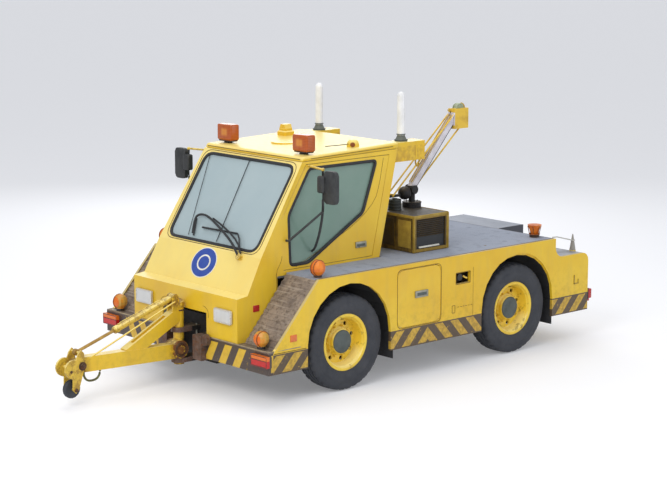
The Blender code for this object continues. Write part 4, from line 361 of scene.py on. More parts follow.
def tail_paint():
    """Yellow tail with a worn shelf, striped foot, red lamps and bare corner spikes."""
    paint = Paint("tail_paint")
    rough, height = worn_paint(paint)
    band = paint.z.below(BAND_TOP)
    bars = stripes(paint.x, paint.z * -1)
    wear = paint.noise(22.0, 5.0, rough=0.75).below(0.58, 0.08)
    paint.lay(bars & band & wear, STRIPE_DARK)
    shelf = paint.up().above(0.6, 0.2) & paint.z.above(0.9)
    steel = paint.mix(paint.patches(6.0, 5.0, 0.5, 0.3), (168, 170, 176), (120, 118, 116))
    paint.lay(shelf, steel)
    lamp = paint.y.above(3.842) & paint.z.below(0.7)
    paint.lay(lamp, RED)
    spike = paint.z.above(1.056) & paint.y.above(3.71)
    paint.lay(spike, (150, 146, 138))
    deck = paint.z.above(DECK_TOP)
    paint.lay(deck, DECK)
    # Painted shade: the tail's low inner faces towards the front are painted near black, as if unlit
    inner = paint.y.below(3.3) & paint.z.below(1.2)
    paint.lay(inner, UNLIT)
    hollow = paint.y.between(3.2565, 3.44) & paint.z.between(1.051, DECK_TOP) & paint.side.above(0.512)
    paint.lay(hollow, (196, 198, 204))
    # Painted shadow: the side walls of the tongue are painted dark, as if in shade
    tongue_wall_shadow = paint.side.between(0.494, 0.5115, 0.001) & paint.y.above(3.27)
    paint.lay(tongue_wall_shadow, (62, 64, 74))
    return paint.finish(rough - lamp * 0.15, height, 0.15, 0.003)


def settle_dust(paint):
    """A film of dust on what faces up."""
    paint.lay(paint.up().above(0.6, 0.5) * paint.patches(6.0, 3.0, 0.45, 0.3) * 0.35, DUST)


def metal_paint(name, base, dark, rust, rough, metal):
    """Greasy or rusty structural metal."""
    paint = Paint(name)
    blotch = paint.noise(11.0, 5.0, rough=0.7)
    paint.tone = paint.mix(blotch.above(0.5, 0.3), base, dark)
    paint.lay(paint.patches(30.0, 4.0, 0.58, 0.08, 0.7) * rust, RUST)
    settle_dust(paint)
    return paint.finish(blotch * 0.3 + (rough - 0.15), paint.noise(80.0, 3.0), 0.3, 0.002, metal)


def chassis_paint():
    """Dark frame whose front blocks and jaws are bare, rusty and brown."""
    paint = Paint("chassis_paint")
    blotch = paint.noise(11.0, 5.0, rough=0.7)
    dark = paint.mix(blotch.above(0.5, 0.3), (40, 37, 35), (24, 23, 23))
    bare = paint.mix(blotch.above(0.5, 0.25), (118, 96, 86), (84, 66, 56))
    bare = paint.mix(paint.patches(34.0, 4.0, 0.57, 0.08, 0.7) * 0.7, bare, RUST)
    paint.tone = paint.mix(paint.y.below(-1.08) & paint.side.below(0.5), dark, bare)
    settle_dust(paint)
    return paint.finish(blotch * 0.3 + 0.5, paint.noise(80.0, 3.0), 0.3, 0.002, 0.2)


def arm_paint():
    """Yellow arm, worn to metal and greasy at its foot, joints and tip."""
    paint = Paint("arm_paint")
    rough, height = worn_paint(paint, low_grime=0.5)
    foot = paint.y.above(-1.34, 0.08) & paint.z.below(0.53, 0.1)
    joints = foot | paint.y.below(-2.44, 0.12) | (paint.z.above(0.87, 0.08) & paint.y.above(-1.36, 0.05))
    rubbed = joints & paint.patches(18.0, 5.0, 0.46, 0.1, 0.75)
    bare = paint.mix(paint.patches(40.0, 3.0, 0.5, 0.2), RUST, (120, 88, 44))
    paint.lay(rubbed * 0.8, bare)
    lug = paint.y.between(-1.345, -1.13, 0.02) & paint.z.between(0.31, 0.52, 0.02) & paint.side.above(0.062)
    paint.lay(lug & paint.patches(30.0, 4.0, 0.42, 0.1), (122, 78, 42))
    return paint.finish(rough + rubbed * 0.2, height + rubbed * -0.5, 0.25, 0.003)


def head_paint():
    paint = Paint("head_paint")
    rough, height = worn_paint(paint, (206, 162, 34), (216, 182, 62), 0.8)
    rubbed = paint.patches(16.0, 5.0, 0.53, 0.1, 0.75)
    paint.lay(rubbed * 0.55, (124, 82, 34))
    return paint.finish(rough + 0.1, height, 0.3, 0.003)


def rubber_paint(name, base, dust):
    paint = Paint(name)
    film = paint.noise(5.0, 5.0, rough=0.7)
    paint.tone = paint.mix(film.above(0.5, 0.35) * dust, base, (98, 98, 102))
    return paint.finish(film * 0.3 + 0.55, paint.noise(160.0, 2.0), 0.2, 0.001)


def rim_paint():
    paint = Paint("rim_paint")
    rough, height = worn_paint(paint, (230, 186, 32), (240, 206, 66), 0.25)
    dirt = paint.patches(9.0, 5.0, 0.60, 0.1, 0.75)
    paint.lay(dirt * 0.6, (84, 60, 26))
    return paint.finish(rough, height, 0.15, 0.002)


def glass_paint(name, base, alpha):
    """Tinted pane with a faint film of dust."""
    paint = Paint(name)
    film = paint.noise(1.6, 4.0, rough=0.6)
    paint.tone = paint.mix(film * 0.25, base, (206, 208, 200))
    paint.feed(paint.shader.inputs["Alpha"], film * 0.10 + alpha)
    return paint.finish(film * 0.10 + 0.04, film, 0.01, 0.001, IOR=1.5)


def lens_paint(name, base, deep, axis, lines):
    """Moulded lens with flutes, so many lines per metre along x or z, that show a deeper colour."""
    paint = Paint(name)
    flutes = paint.waves(lines, getattr(paint, axis))
    paint.tone = paint.mix(flutes * 0.55 + paint.noise(8.0, 3.0) * 0.4, base, deep)
    return paint.finish(paint.noise(20.0, 3.0) * 0.15 + 0.12, flutes, 0.35, 0.002, Coat_Weight=0.5)


def beacon_paint():
    paint = Paint("beacon_paint")
    lens = paint.z.above(2.517)
    flutes = paint.waves(60.0, paint.z)
    # Painted highlight: a pale patch inside the lens, where the reflector behind it would catch the light
    reflector_glint = (paint.side.between(0.60, 0.70, 0.03) & paint.z.between(2.575, 2.65, 0.03)) * 0.55
    paint.tone = paint.mix(flutes * 0.4 + paint.noise(12.0, 3.0) * 0.4, (190, 92, 24), (138, 56, 10))
    paint.lay(reflector_glint, (226, 156, 60))
    paint.tone = paint.mix(lens, (30, 28, 28), paint.tone)
    return paint.finish(0.45 - lens * 0.27, flutes & lens, 0.3, 0.002)


def tube_paint():
    """White diffuser tube on a grey rubber foot."""
    paint = Paint("tube_paint")
    tube = paint.z.above(2.583)
    paint.tone = paint.mix(paint.patches(7.0, 4.0, 0.55, 0.2) * 0.25, (236, 237, 238), (186, 186, 180))
    paint.tone = paint.mix(tube, (96, 100, 92), paint.tone)
    return paint.finish(0.5 - tube * 0.25 + paint.noise(30.0) * 0.1, paint.noise(60.0), 0.08, 0.002)


def plain_paint(name, base, worn, rough, metal=0.0):
    """One colour with worn blotches and a fine grain."""
    paint = Paint(name)
    blotch = paint.noise(10.0, 4.0, rough=0.65)
    paint.tone = paint.mix(blotch.above(0.52, 0.3) * 0.7, base, worn)
    return paint.finish(blotch * 0.22 + (rough - 0.1), paint.noise(70.0, 2.0), 0.15, 0.001, metal)


def roof_paint():
    """Top painted paler where it faces up, a painted highlight, with rear arms a little darker in their
    joints.
    """
    paint = Paint("roof_paint")
    rough, height = worn_paint(paint, low_grime=0.2)
    arms = paint.y.above(1.256) & paint.z.below(2.47)
    paint.lay(arms * paint.patches(16.0, 4.0, 0.5, 0.2) * 0.4, (150, 104, 40))
    return paint.finish(rough, height, 0.12, 0.003)


def generator_paint():
    """Old ochre housing with a dark inset side panel, a dark top and a dark drum."""
    paint = Paint("generator_paint")
    blotch = paint.noise(8.0, 5.0, rough=0.7)
    streak = paint.noise(12.0, 4.0, paint.stretched((2.0, 2.0, 0.15)))
    paint.tone = paint.mix(blotch.above(0.48, 0.3), (118, 92, 24), (62, 46, 16))
    paint.lay(streak.above(0.55, 0.15) * 0.6, (24, 20, 14))
    edge = paint.side.above(1.005, 0.01) & ~paint.z.between(1.32, 1.66)
    paint.lay(edge * 0.6, (170, 136, 40))
    top = paint.up().above(0.6, 0.2)
    paint.lay(top * 0.8, (58, 56, 52))
    panel = paint.facing(0).above(0.7, 0.1) & paint.x.below(1.012)
    paint.lay(panel, (44, 46, 48))
    drum = paint.z.above(1.705)
    paint.lay(drum, (38, 40, 36))
    return paint.finish(blotch * 0.3 + 0.4, paint.noise(60.0, 3.0), 0.25, 0.002)


def hoist_paint():
    """White boom, yellow head, grey-green sheave and dark foot."""
    paint = Paint("boom_paint")
    # The boom climbs 1.147 m for each metre back
    off_boom = abs(paint.z - BOOM_FOOT.z - (paint.y - BOOM_FOOT.y) * 1.147)
    on_boom = off_boom.below(0.075) & paint.z.above(1.95) & paint.y.below(2.448)
    white = paint.mix(paint.patches(9.0, 4.0, 0.5, 0.3) * 0.5, (226, 222, 228), (176, 170, 176))
    yellow = paint.mix(paint.patches(10.0, 5.0, 0.55, 0.2) * 0.5, (228, 188, 58), (168, 128, 46))
    paint.tone = paint.mix(on_boom, yellow, white)
    sheave = paint.z.above(2.7915) & paint.y.above(2.46)
    paint.lay(sheave, (158, 168, 140))
    paint.lay(paint.z.below(1.95) & off_boom.below(0.14), (40, 40, 42))
    return paint.finish(paint.noise(14.0) * 0.3 + 0.3, paint.noise(70.0), 0.15, 0.002)


def floor_paint():
    """Pale floor. Its own light is only seen by the camera, in glass and in reflections."""
    paint = Paint("floor_paint")
    rays = paint.node("ShaderNodeLightPath").outputs
    seen = Value(paint, rays["Is Camera Ray"]) | Value(paint, rays["Is Glossy Ray"])
    seen = seen | Value(paint, rays["Is Transmission Ray"])
    paint.feed(paint.shader.inputs["Emission Color"], paint.mix(seen, (0, 0, 0), (238, 239, 242)))
    paint.tone = (232, 232, 234)
    return paint.finish(paint.noise(3.0) * 0.1 + 0.6, Emission_Strength=0.22)


PAINTS = {
    "yellow": yellow_paint(), "cab": cab_paint(), "side": side_paint(), "bumper": bumper_paint(),
    "deck": deck_paint(), "tread": tread_paint(), "tail": tail_paint(), "arm": arm_paint(),
    "head": head_paint(), "roof": roof_paint(), "generator": generator_paint(), "hoist": hoist_paint(),
    "beacon": beacon_paint(), "tube": tube_paint(), "rim": rim_paint(), "chassis": chassis_paint(),
    "floor": floor_paint(),
    "tyre": rubber_paint("tyre_rubber", RUBBER, 0.3),
    "seal": rubber_paint("seal_rubber", (28, 29, 31), 0.2),
    "cloth": rubber_paint("seat_cloth", (62, 66, 78), 0.25),
    "screen": glass_paint("screen_glass", (178, 198, 204), 0.66),
    "pane": glass_paint("pane_glass", (126, 160, 146), 0.62),
    "headlamp": lens_paint("headlamp_lens", (226, 226, 224), (176, 180, 184), "x", 45.0),
    "red": lens_paint("red_lens", (196, 30, 26), (140, 14, 16), "z", 70.0),
    "orange": lens_paint("orange_lens", (232, 120, 30), (190, 84, 18), "z", 70.0),
    "frame": metal_paint("frame_metal", (40, 37, 35), (24, 23, 23), 0.25, 0.6, 0.2),
    "rusty": metal_paint("rusty_metal", (104, 76, 56), (70, 52, 42), 0.8, 0.75, 0.25),
    "rusty_dark": metal_paint("drum_metal", (60, 44, 32), (34, 28, 24), 0.4, 0.75, 0.2),
    "mast": metal_paint("mast_metal", (42, 42, 44), (28, 28, 30), 0.15, 0.55, 0.3),
}
# Columns: paint, the material's name, base, worn, roughness, metal
for paint_name, full_name, *look in (
        ("mirror_shell", "mirror_shell", (34, 36, 38), (64, 66, 66), 0.55),
        ("mirror_glass", "mirror_glass", (190, 196, 200), (170, 176, 180), 0.12, 1.0),
        ("black", "black_plastic", (26, 27, 29), (52, 52, 52), 0.5),
        ("steel", "bare_steel", (168, 168, 164), (120, 116, 108), 0.38, 0.9),
        ("rod", "rod_brass", (184, 148, 74), (128, 94, 44), 0.4, 0.35),
        ("plate", "zinc_plate", (158, 158, 146), (124, 120, 104), 0.45, 0.5),
        ("hub", "hub_cap", (84, 92, 90), (62, 68, 66), 0.5, 0.2),
        ("blue", "blue_mark", (34, 66, 156), (52, 84, 160), 0.45),
        ("white", "white_mark", (232, 230, 220), (206, 200, 182), 0.45),
        ("dash", "dash_grey", (84, 86, 88), (104, 104, 100), 0.65),
        ("cap", "hood_green", (156, 166, 138), (120, 130, 104), 0.5),
        ("chrome", "lamp_chrome", (214, 212, 208), (186, 182, 176), 0.28, 0.5),
        ("crease", "crease_shadow", (122, 92, 30), (86, 64, 26), 0.7),
        ("rust_line", "rust_line", (104, 66, 24), (64, 50, 24), 0.7),
        ("worn_edge", "worn_edge", (176, 160, 128), (120, 104, 84), 0.6, 0.2),
        ("amber_dark", "amber_shadow", (150, 78, 22), (108, 52, 16), 0.4),
        ("dull_green", "dull_green", (108, 110, 66), (84, 74, 40), 0.6, 0.3),
        ("pale_steel", "pale_steel", (206, 204, 196), (168, 164, 150), 0.5, 0.3),
        ("ochre_edge", "ochre_edge", (168, 140, 52), (126, 98, 36), 0.5, 0.1),
        ("ochre_dark", "ochre_dark", (70, 54, 24), (46, 40, 34), 0.5, 0.1),
        ("hoist_yellow", "hoist_yellow", (206, 168, 58), (150, 118, 50), 0.5, 0.1)):
    PAINTS[paint_name] = plain_paint(full_name, *look)


# Shapes

def lean_x(x, z):
    """An x on the cab's leaning side at a height."""
    return x - math.copysign(LEAN * max(z - LEAN_START, 0), x)


def ring_points(radius, segments):
    turns = [2 * math.pi * i / segments for i in range(segments)]
    return [(radius * math.cos(turn), radius * math.sin(turn)) for turn in turns]


def soften(points, closed=False):
    """Cut every corner of a path once."""
    points = [Vector(p) for p in points]
    out = [] if closed else [points[0]]
    for a, b in zip(points, points[1:] + (points[:1] if closed else [])):
        out += [a.lerp(b, 0.25), a.lerp(b, 0.75)]
    return out if closed else out + [points[-1]]


def rounded_loop(corners, radius, steps=5):
    """A closed path through corners in space, each rounded by a radius."""
    corners = [Vector(c) for c in corners]
    out = []
    for i, corner in enumerate(corners):
        before = corners[i - 1] - corner
        after = corners[(i + 1) % len(corners)] - corner
        reach = min(radius, before.length * 0.45, after.length * 0.45)
        a = corner + before.normalized() * reach
        b = corner + after.normalized() * reach
        for k in range(steps + 1):
            t = k / steps
            out.append(a.lerp(corner, t).lerp(corner.lerp(b, t), t))
    return out


class Shape:
    """A mesh in the making, in the vehicle's own coordinates."""

    def __init__(self):
        self.bm = bmesh.new()
        self.swept = False

    def box(self, low, high, bevel=0.0, segments=2, turn=None):
        middle = Vector([(a + b) / 2 for a, b in zip(low, high)])
        size = Matrix.Diagonal((*[b - a for a, b in zip(low, high)], 1))
        matrix = Matrix.Translation(middle) @ (turn or Matrix.Identity(4)) @ size
        made = bmesh.ops.create_cube(self.bm, size=1, matrix=matrix)
        if bevel:
            edges = list({edge for vert in made["verts"] for edge in vert.link_edges})
            bmesh.ops.bevel(self.bm, geom=edges, offset=bevel, segments=segments, affect="EDGES",
                            profile=0.5)
        return self

    def rod(self, start, end, radius, segments=16, end_radius=None):
        along = Vector(end) - Vector(start)
        place = Matrix.Translation((Vector(start) + Vector(end)) / 2)
        place = place @ along.to_track_quat("Z", "Y").to_matrix().to_4x4()
        bmesh.ops.create_cone(self.bm, cap_ends=True, segments=segments, radius1=radius,
                              radius2=radius if end_radius is None else end_radius,
                              depth=along.length, matrix=place)
        return self

    def ball(self, centre, radius, segments=20, rings=12):
        bmesh.ops.create_uvsphere(self.bm, u_segments=segments, v_segments=rings, radius=radius,
                                  matrix=Matrix.Translation(centre))
        return self

    def bridge(self, rings, closed, size=None):
        """Faces between rings of points in turn; size stops short of closing each ring."""
        count = len(rings[0])
        for near, far in zip(rings, rings[1:] + (rings[:1] if closed else [])):
            for k in range(size or count):
                m = (k + 1) % count
                self.bm.faces.new((near[k], near[m], far[m], far[k]))
        return self

    def sweep(self, section, points, closed=False, flat=(0, 0, 1)):
        """Carry a closed section, given as (sideways, upwards), along points."""
        self.swept = True
        points = [Vector(p) for p in points]
        count = len(points)
        rings = []
        for i, point in enumerate(points):
            before = points[i - 1] if i or closed else point
            after = points[(i + 1) % count] if i + 1 < count or closed else point
            tangent = (after - before).normalized()
            upward = Vector(flat)
            if abs(tangent.dot(upward)) > 0.98:
                upward = Vector((0, 1, 0))
            sideways = tangent.cross(upward).normalized()
            upward = sideways.cross(tangent).normalized()
            rings.append([self.bm.verts.new(point + sideways * u + upward * v) for u, v in section])
        self.bridge(rings, closed)
        if not closed:
            self.bm.faces.new(rings[0][::-1])
            self.bm.faces.new(rings[-1])
        return self

    def pipe(self, points, radius, segments=10, closed=False, smooth=0):
        for _ in range(smooth):
            points = soften(points, closed)
        return self.sweep(ring_points(radius, segments), points, closed)

    def prism(self, outline, low, high, facing="side"):
        """A flat outline with thickness: side gives (y, z) and front (x, z)."""
        place = {"side": lambda u, v, w: (w, u, v), "front": lambda u, v, w: (u, w, v)}[facing]
        rings = [[self.bm.verts.new(place(u, v, w)) for u, v in outline] for w in (low, high)]
        self.bridge(rings, False)
        self.bm.faces.new(rings[0][::-1])
        self.bm.faces.new(rings[1])
        return self

    def turned(self, profile, centre, axis="X", segments=72, closed=False):
        """Turn (along, radius) points about a line through centre."""
        rings = []
        for c, s in ring_points(1, segments):
            place = {"X": lambda a, r: (a, r * c, r * s), "Z": lambda a, r: (r * c, r * s, a)}[axis]
            rings.append([self.bm.verts.new(Vector(centre) + Vector(place(a, r))) for a, r in profile])
        return self.bridge(rings, True, None if closed else len(profile) - 1)

    def ring(self, centre, radius, tube, axis="X", segments=48):
        """A round bar bent into a ring about an axis."""
        profile = [(u, radius + v) for u, v in ring_points(tube, 8)]
        return self.turned(profile, centre, axis, segments, True)

    def bezel(self, corners, width, depth, flat, radius=0.02):
        """Raised frame: a flat-topped strip round a loop of corners."""
        section = [(-width, -depth), (width, -depth), (width, depth * 0.4), (width * 0.6, depth),
                   (-width * 0.6, depth), (-width, depth * 0.4)]
        return self.sweep(section, rounded_loop(corners, radius), closed=True, flat=flat)

    def reflect(self, target):
        """Add the image across the middle plane to a mesh. A sweep's bent faces are wound the other way."""
        twins = {vert: target.verts.new((-vert.co.x, vert.co.y, vert.co.z)) for vert in self.bm.verts[:]}
        for face in self.bm.faces[:]:
            corners = [twins[vert] for vert in face.verts]
            target.faces.new(corners[::-1] if self.swept else corners)

    def mirror(self):
        """Add the mirror image of all that is there so far."""
        self.reflect(self.bm)
        return self

    def moved(self, matrix):
        bmesh.ops.transform(self.bm, verts=self.bm.verts, matrix=matrix)
        return self


def piece(name, shape, paint, body="tractor", replaces=(), angle=35):
    """Make a shape a visible piece that moves with a body."""
    mesh = bpy.data.meshes.new(name)
    bm = shape.bm
    bmesh.ops.remove_doubles(bm, verts=bm.verts, dist=0.00001)
    bmesh.ops.recalc_face_normals(bm, faces=bm.faces)
    bmesh.ops.translate(bm, verts=bm.verts, vec=(0, -MIDDLE, 0))
    bm.to_mesh(mesh)
    bm.free()
    made = bpy.data.objects.new(name, mesh)
    bpy.context.scene.collection.objects.link(made)
    mesh.materials.append(PAINTS[paint])
    mesh.shade_smooth()
    mesh.set_sharp_from_angle(angle=math.radians(angle))
    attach(made, body)
    if replaces:
        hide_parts(*replaces)
    return made


def pair(name, shape, paint, body="tractor", replaces=None, angle=35):
    """A left-hand shape and its mirror image. Their names, nodes and bodies end in the side."""
    twin = Shape()
    shape.reflect(twin.bm)
    for side, made in (("_left", shape), ("_right", twin)):
        piece(name + side, made, paint, body if body == "tractor" else body + side,
              (replaces + side,) if replaces else (), angle)


# Each paint and the nodes that wear it, left and right ones by their common name
NODE_PAINTS = {
    "side": "side_panel", "deck": "deck_plate", "tread": "ramp", "bumper": "front_bumper",
    "tail": "tail_body", "cab": "nose cab_shell cab_door", "roof": "roof", "yellow": "access_door",
    "dash": "cab_floor console",
    "frame": "engine_block front_axle rear_axle knuckle", "chassis": "chassis_frame", "seal": "mud_flap",
    "screen": "windscreen rear_window", "pane": "door_glass", "tube": "tube_lamp", "headlamp": "headlamp",
    "generator": "generator_box", "arm": "tow_arm", "head": "tow_head tow_cylinder", "rod": "tow_rod",
    "tyre": "tow_roller", "mast": "hoist_mast", "hoist": "hoist_boom",
    # Nodes that pieces below replace
    "mirror_shell": "mirror", "beacon": "roof_beacon", "cloth": "seat",
}
NODE_LOOKS = {stem: paint for paint, stems in NODE_PAINTS.items() for stem in stems.split()}
for node_name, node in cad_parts.items():
    node_look = NODE_LOOKS.get(node_name.removesuffix("_left").removesuffix("_right"))
    if node_look:
        for material_slot in node.material_slots:
            material_slot.material = PAINTS[node_look]


# Wheels

TYRE_FACETS = 144
# Half the tyre's section, from the bead to the middle of the tread, as (along, radius)
TYRE_HALF = [
    (0.0995, 0.2885), (0.1005, 0.300), (0.107, 0.312), (0.116, 0.323), (0.121, 0.327), (0.129, 0.345),
    (0.136, 0.372), (0.1395, 0.405), (0.1395, 0.428), (0.137, 0.432), (0.1355, 0.455), (0.130, 0.480),
    (0.121, 0.501), (0.110, 0.514), (0.100, 0.5185), (0.082, 0.5215), (0.080, 0.511), (0.070, 0.511),
    (0.068, 0.5225), (0.036, 0.5245), (0.034, 0.513), (0.024, 0.513), (0.022, 0.525), (0.0, 0.525)]
RIM_SECTION = [
    (-0.045, 0.243), (-0.02, 0.243), (-0.008, 0.250), (0.02, 0.255), (0.060, 0.258), (0.078, 0.262),
    (0.086, 0.271), (0.096, 0.274), (0.104, 0.280), (0.108, 0.292), (0.110, 0.304), (0.1075, 0.3112),
    (0.1015, 0.3115), (0.1005, 0.300), (0.1, 0.2875), (-0.1, 0.2875), (-0.1005, 0.311), (-0.11, 0.310),
    (-0.11, 0.28), (-0.08, 0.266), (-0.045, 0.262)]
HUB_SECTION = [(-0.035, 0.100), (-0.035, 0.158), (-0.012, 0.158), (0.004, 0.150), (0.012, 0.140),
               (0.046, 0.136), (0.050, 0.132), (0.050, 0.10)]
CAP_SECTION = [(0.030, 0.0), (0.030, 0.127), (0.056, 0.127), (0.0615, 0.121), (0.0640, 0.106),
               (0.0645, 0.06), (0.0645, 0.0)]
DRUM_SECTION = [(-0.085, 0.100), (-0.060, 0.100), (-0.058, 0.232), (-0.085, 0.235)]


def tyre(stem, side, centre):
    """Tyre with grooves round it and notched shoulders."""
    profile = [(a * side, r) for a, r in TYRE_HALF] + [(-a * side, r) for a, r in reversed(TYRE_HALF[:-1])]
    shape = Shape().turned(profile, (0, 0, 0), "X", TYRE_FACETS)
    for vert in shape.bm.verts:
        radius = math.hypot(vert.co.y, vert.co.z)
        turn = math.atan2(vert.co.z, vert.co.y) / (2 * math.pi) * TYRE_FACETS
        if radius > 0.505 and abs(vert.co.x) > 0.067 and round(turn) % 4 == 0:
            share = 0.974 if abs(vert.co.x) > 0.09 else 0.982
            vert.co.y *= share
            vert.co.z *= share
    shape.moved(Matrix.Translation(centre))
    piece("tyre_detail_" + stem, shape, "tyre", "wheel_" + stem, ("tyre_" + stem,), 50)


def rim(stem, centre):
    """Deep-dished rim with hand holes, wheel nuts, a plain hub cap, a brake drum and a valve."""
    body = "wheel_" + stem
    holes = [(0.205, 0.024, 2 * math.pi * (i + 0.3) / 8) for i in range(8)]
    disc = disc_with_holes(0.132, 0.2445, holes, 0.02)
    disc.transform(Matrix.Translation(centre + Vector((-0.033, 0, 0)))
                   @ Matrix.Rotation(math.pi / 2, 4, "Y"))
    shape = Shape().turned(RIM_SECTION, centre, closed=True)
    shape.bm.from_mesh(disc)
    bpy.data.meshes.remove(disc)
    shape.turned(HUB_SECTION, centre, segments=48, closed=True)
    pair("rim_detail_" + stem, shape, "rim", body, "rim_" + stem, 30)
    nuts = Shape()
    for c, s in ring_points(0.168, 10):
        spot = centre + Vector((-0.012, c, s))
        nuts.rod(spot, spot + Vector((0.020, 0, 0)), 0.012, 6)
        nuts.rod(spot, spot + Vector((0.028, 0, 0)), 0.006, 10)
    pair("wheel_nuts_" + stem, nuts, "rim", body)
    cap = Shape().turned(CAP_SECTION, centre, segments=48)
    pair("hub_cap_" + stem, cap, "hub", body, None, 25)
    drum = Shape().turned(DRUM_SECTION, centre, segments=48, closed=True)
    pair("brake_drum_" + stem, drum, "rusty_dark", body)
    # Columns: along the axle, height from its middle
    stem_path = [centre + Vector((along, 0, up)) for along, up in ((0, 0.247), (0.04, 0.243), (0.075, 0.251))]
    pair("valve_" + stem, Shape().pipe(stem_path, 0.004, 8), "black", body)


def disc_with_holes(inner, outer, holes, thickness):
    """A flat ring with round holes, drawn as a 2D curve in the XY plane."""
    curve = bpy.data.curves.new("disc", "CURVE")
    curve.dimensions = "2D"
    curve.fill_mode = "BOTH"
    curve.extrude = thickness / 2
    loops = [ring_points(outer, 72), ring_points(inner, 48)]
    for pitch, radius, angle in holes:
        x, y = pitch * math.cos(angle), pitch * math.sin(angle)
        loops.append([(x + u, y + v) for u, v in ring_points(radius, 20)])
    for loop in loops:
        spline = curve.splines.new("POLY")
        spline.points.add(len(loop) - 1)
        spline.use_cyclic_u = True
        for point, (u, v) in zip(spline.points, loop):
            point.co = (u, v, 0, 1)
    drawn = bpy.data.objects.new("disc", curve)
    bpy.context.scene.collection.objects.link(drawn)
    mesh = bpy.data.meshes.new_from_object(drawn.evaluated_get(bpy.context.evaluated_depsgraph_get()))
    bpy.data.objects.remove(drawn)
    bpy.data.curves.remove(curve)
    return mesh


for axle, axle_y in (("front", 0), ("rear", WHEELBASE)):
    for side_name, side in (("_left", 1), ("_right", -1)):
        tyre(axle + side_name, side, (side * WHEEL_X, axle_y, AXLE_HEIGHT))
    rim(axle, Vector((WHEEL_X, axle_y, AXLE_HEIGHT)))


# Planes that the fittings lie on

SCREEN_ALONG = (SCREEN_TOP - SCREEN_FOOT).normalized()
SCREEN_NORMAL = Vector((0, -SCREEN_ALONG.z, SCREEN_ALONG.y))
SLOPE_ALONG = (SCREEN_FOOT - SLOPE_FOOT).normalized()
SLOPE_NORMAL = Vector((0, -SLOPE_ALONG.z, SLOPE_ALONG.y))


def on_screen(x, share, out=0.0):
    """A point on the windscreen's plane; share 0 is its foot and 1 its top."""
    return SCREEN_FOOT.lerp(SCREEN_TOP, share) + Vector((x, 0, 0)) + SCREEN_NORMAL * out


def on_slope(x, share, out=0.0):
    """A point on the nose's upper slope; share 1 is the windscreen's foot."""
    return SLOPE_FOOT.lerp(SCREEN_FOOT, share) + Vector((x, 0, 0)) + SLOPE_NORMAL * out


def on_side(y, z, out=0.0):
    """A point on the cab's leaning left side."""
    return Vector((lean_x(NOSE_HALF, z) + out, y, z))


def on_rear(x, z):
    """A point on the cab's sloping back."""
    return Vector((x, REAR_FOOT.y + REAR_SLOPE * (z - REAR_FOOT.z), z))


# Seals round the glass

def seal(corners, normal, depth, radius, width=0.034):
    """Rubber strip that follows a pane's edge."""
    section = [(-width / 2, -depth * 0.45), (width / 2, -depth * 0.45), (width / 2, depth * 0.15),
               (width * 0.3, depth * 0.5), (-width * 0.3, depth * 0.5), (-width / 2, depth * 0.15)]
    return Shape().sweep(section, rounded_loop(corners, radius), closed=True, flat=normal)


# The door window's outline, as (y, z)
WINDOW = ((-0.375, 1.345), (-0.12, 1.345), (0.70, 1.80), (0.925, 2.355), (-0.055, 2.355), (-0.375, 1.88))


def seals():
    corners = [on_screen(x, share)
               for x, share in ((-0.765, 0.048), (0.765, 0.048), (0.765, 0.952), (-0.765, 0.952))]
    piece("screen_seal", seal(corners, SCREEN_NORMAL, 0.022, 0.12), "seal", angle=50)
    corners = [on_side(y, z, -0.002) for y, z in WINDOW]
    pair("window_seal", seal(corners, (1, 0, LEAN), 0.020, 0.05), "seal", "cab_door", angle=50)
    corners = [on_rear(x, z) for x, z in ((-0.56, 1.62), (0.56, 1.62), (0.56, 2.28), (-0.56, 2.28))]
    piece("rear_seal", seal(corners, (0, 1, -REAR_SLOPE), 0.020, 0.06), "seal", angle=50)


# Windscreen, nose and bumper

def screen_fittings():
    strips = Shape()
    strips.pipe([on_screen(-0.426, 0.085, 0.004), on_screen(-0.690, 0.93, 0.004)], 0.0035, 6)
    strips.pipe([on_screen(0.082, 0.075, 0.004), on_screen(0.008, 0.94, 0.004)], 0.0045, 6)
    piece("screen_strips", strips, "seal")
    corners = [on_screen(x, share, 0.001)
               for x, share in ((-0.808, 0.02), (0.808, 0.02), (0.808, 0.988), (-0.808, 0.988))]
    surround = Shape().pipe(rounded_loop(corners, 0.13), 0.0038, 6, closed=True)
    piece("screen_surround", surround, "rust_line")
    wiper = Shape()
    # Columns: radius, segments, rounds of smoothing, then points: x, share up the screen, height above it
    for radius, segments, smooth, *path in (
            (0.013, 8, 2, (0.560, -0.02, 0.045), (0.40, 0.08, 0.046), (0.139, 0.185, 0.044),
             (-0.168, 0.290, 0.042), (-0.300, 0.306, 0.040), (-0.386, 0.285, 0.036),
             (-0.398, 0.235, 0.032), (-0.350, 0.105, 0.018)),
            (0.010, 8, 1, (0.585, 0.00, 0.035), (0.46, 0.105, 0.034), (0.20, 0.205, 0.034),
             (-0.10, 0.285, 0.034)),
            (0.011, 6, 0, (-0.232, 0.181, 0.018), (0.377, 0.189, 0.018)),
            (0.004, 4, 0, (-0.232, 0.181, 0.006), (0.377, 0.189, 0.006)),
            (0.009, 6, 0, (0.377, 0.189, 0.018), (0.45, 0.145, 0.03), (0.53, 0.05, 0.036)),
            (0.010, 6, 0, (-0.39, 0.255, 0.02), (-0.325, 0.085, 0.012))):
        wiper.pipe([on_screen(*spot) for spot in path], radius, segments, smooth=smooth)
    piece("wiper", wiper, "seal")
    boss = Shape()
    boss.rod(on_slope(0.565, 0.925, 0.0), on_slope(0.565, 0.925, 0.040), 0.036, 20)
    boss.rod(on_slope(0.565, 0.925, 0.040), on_slope(0.565, 0.925, 0.048), 0.022, 16)
    boss.box(on_slope(0.52, 0.86, 0.0), on_slope(0.61, 0.90, 0.012), 0.003)
    piece("wiper_motor", boss, "head")


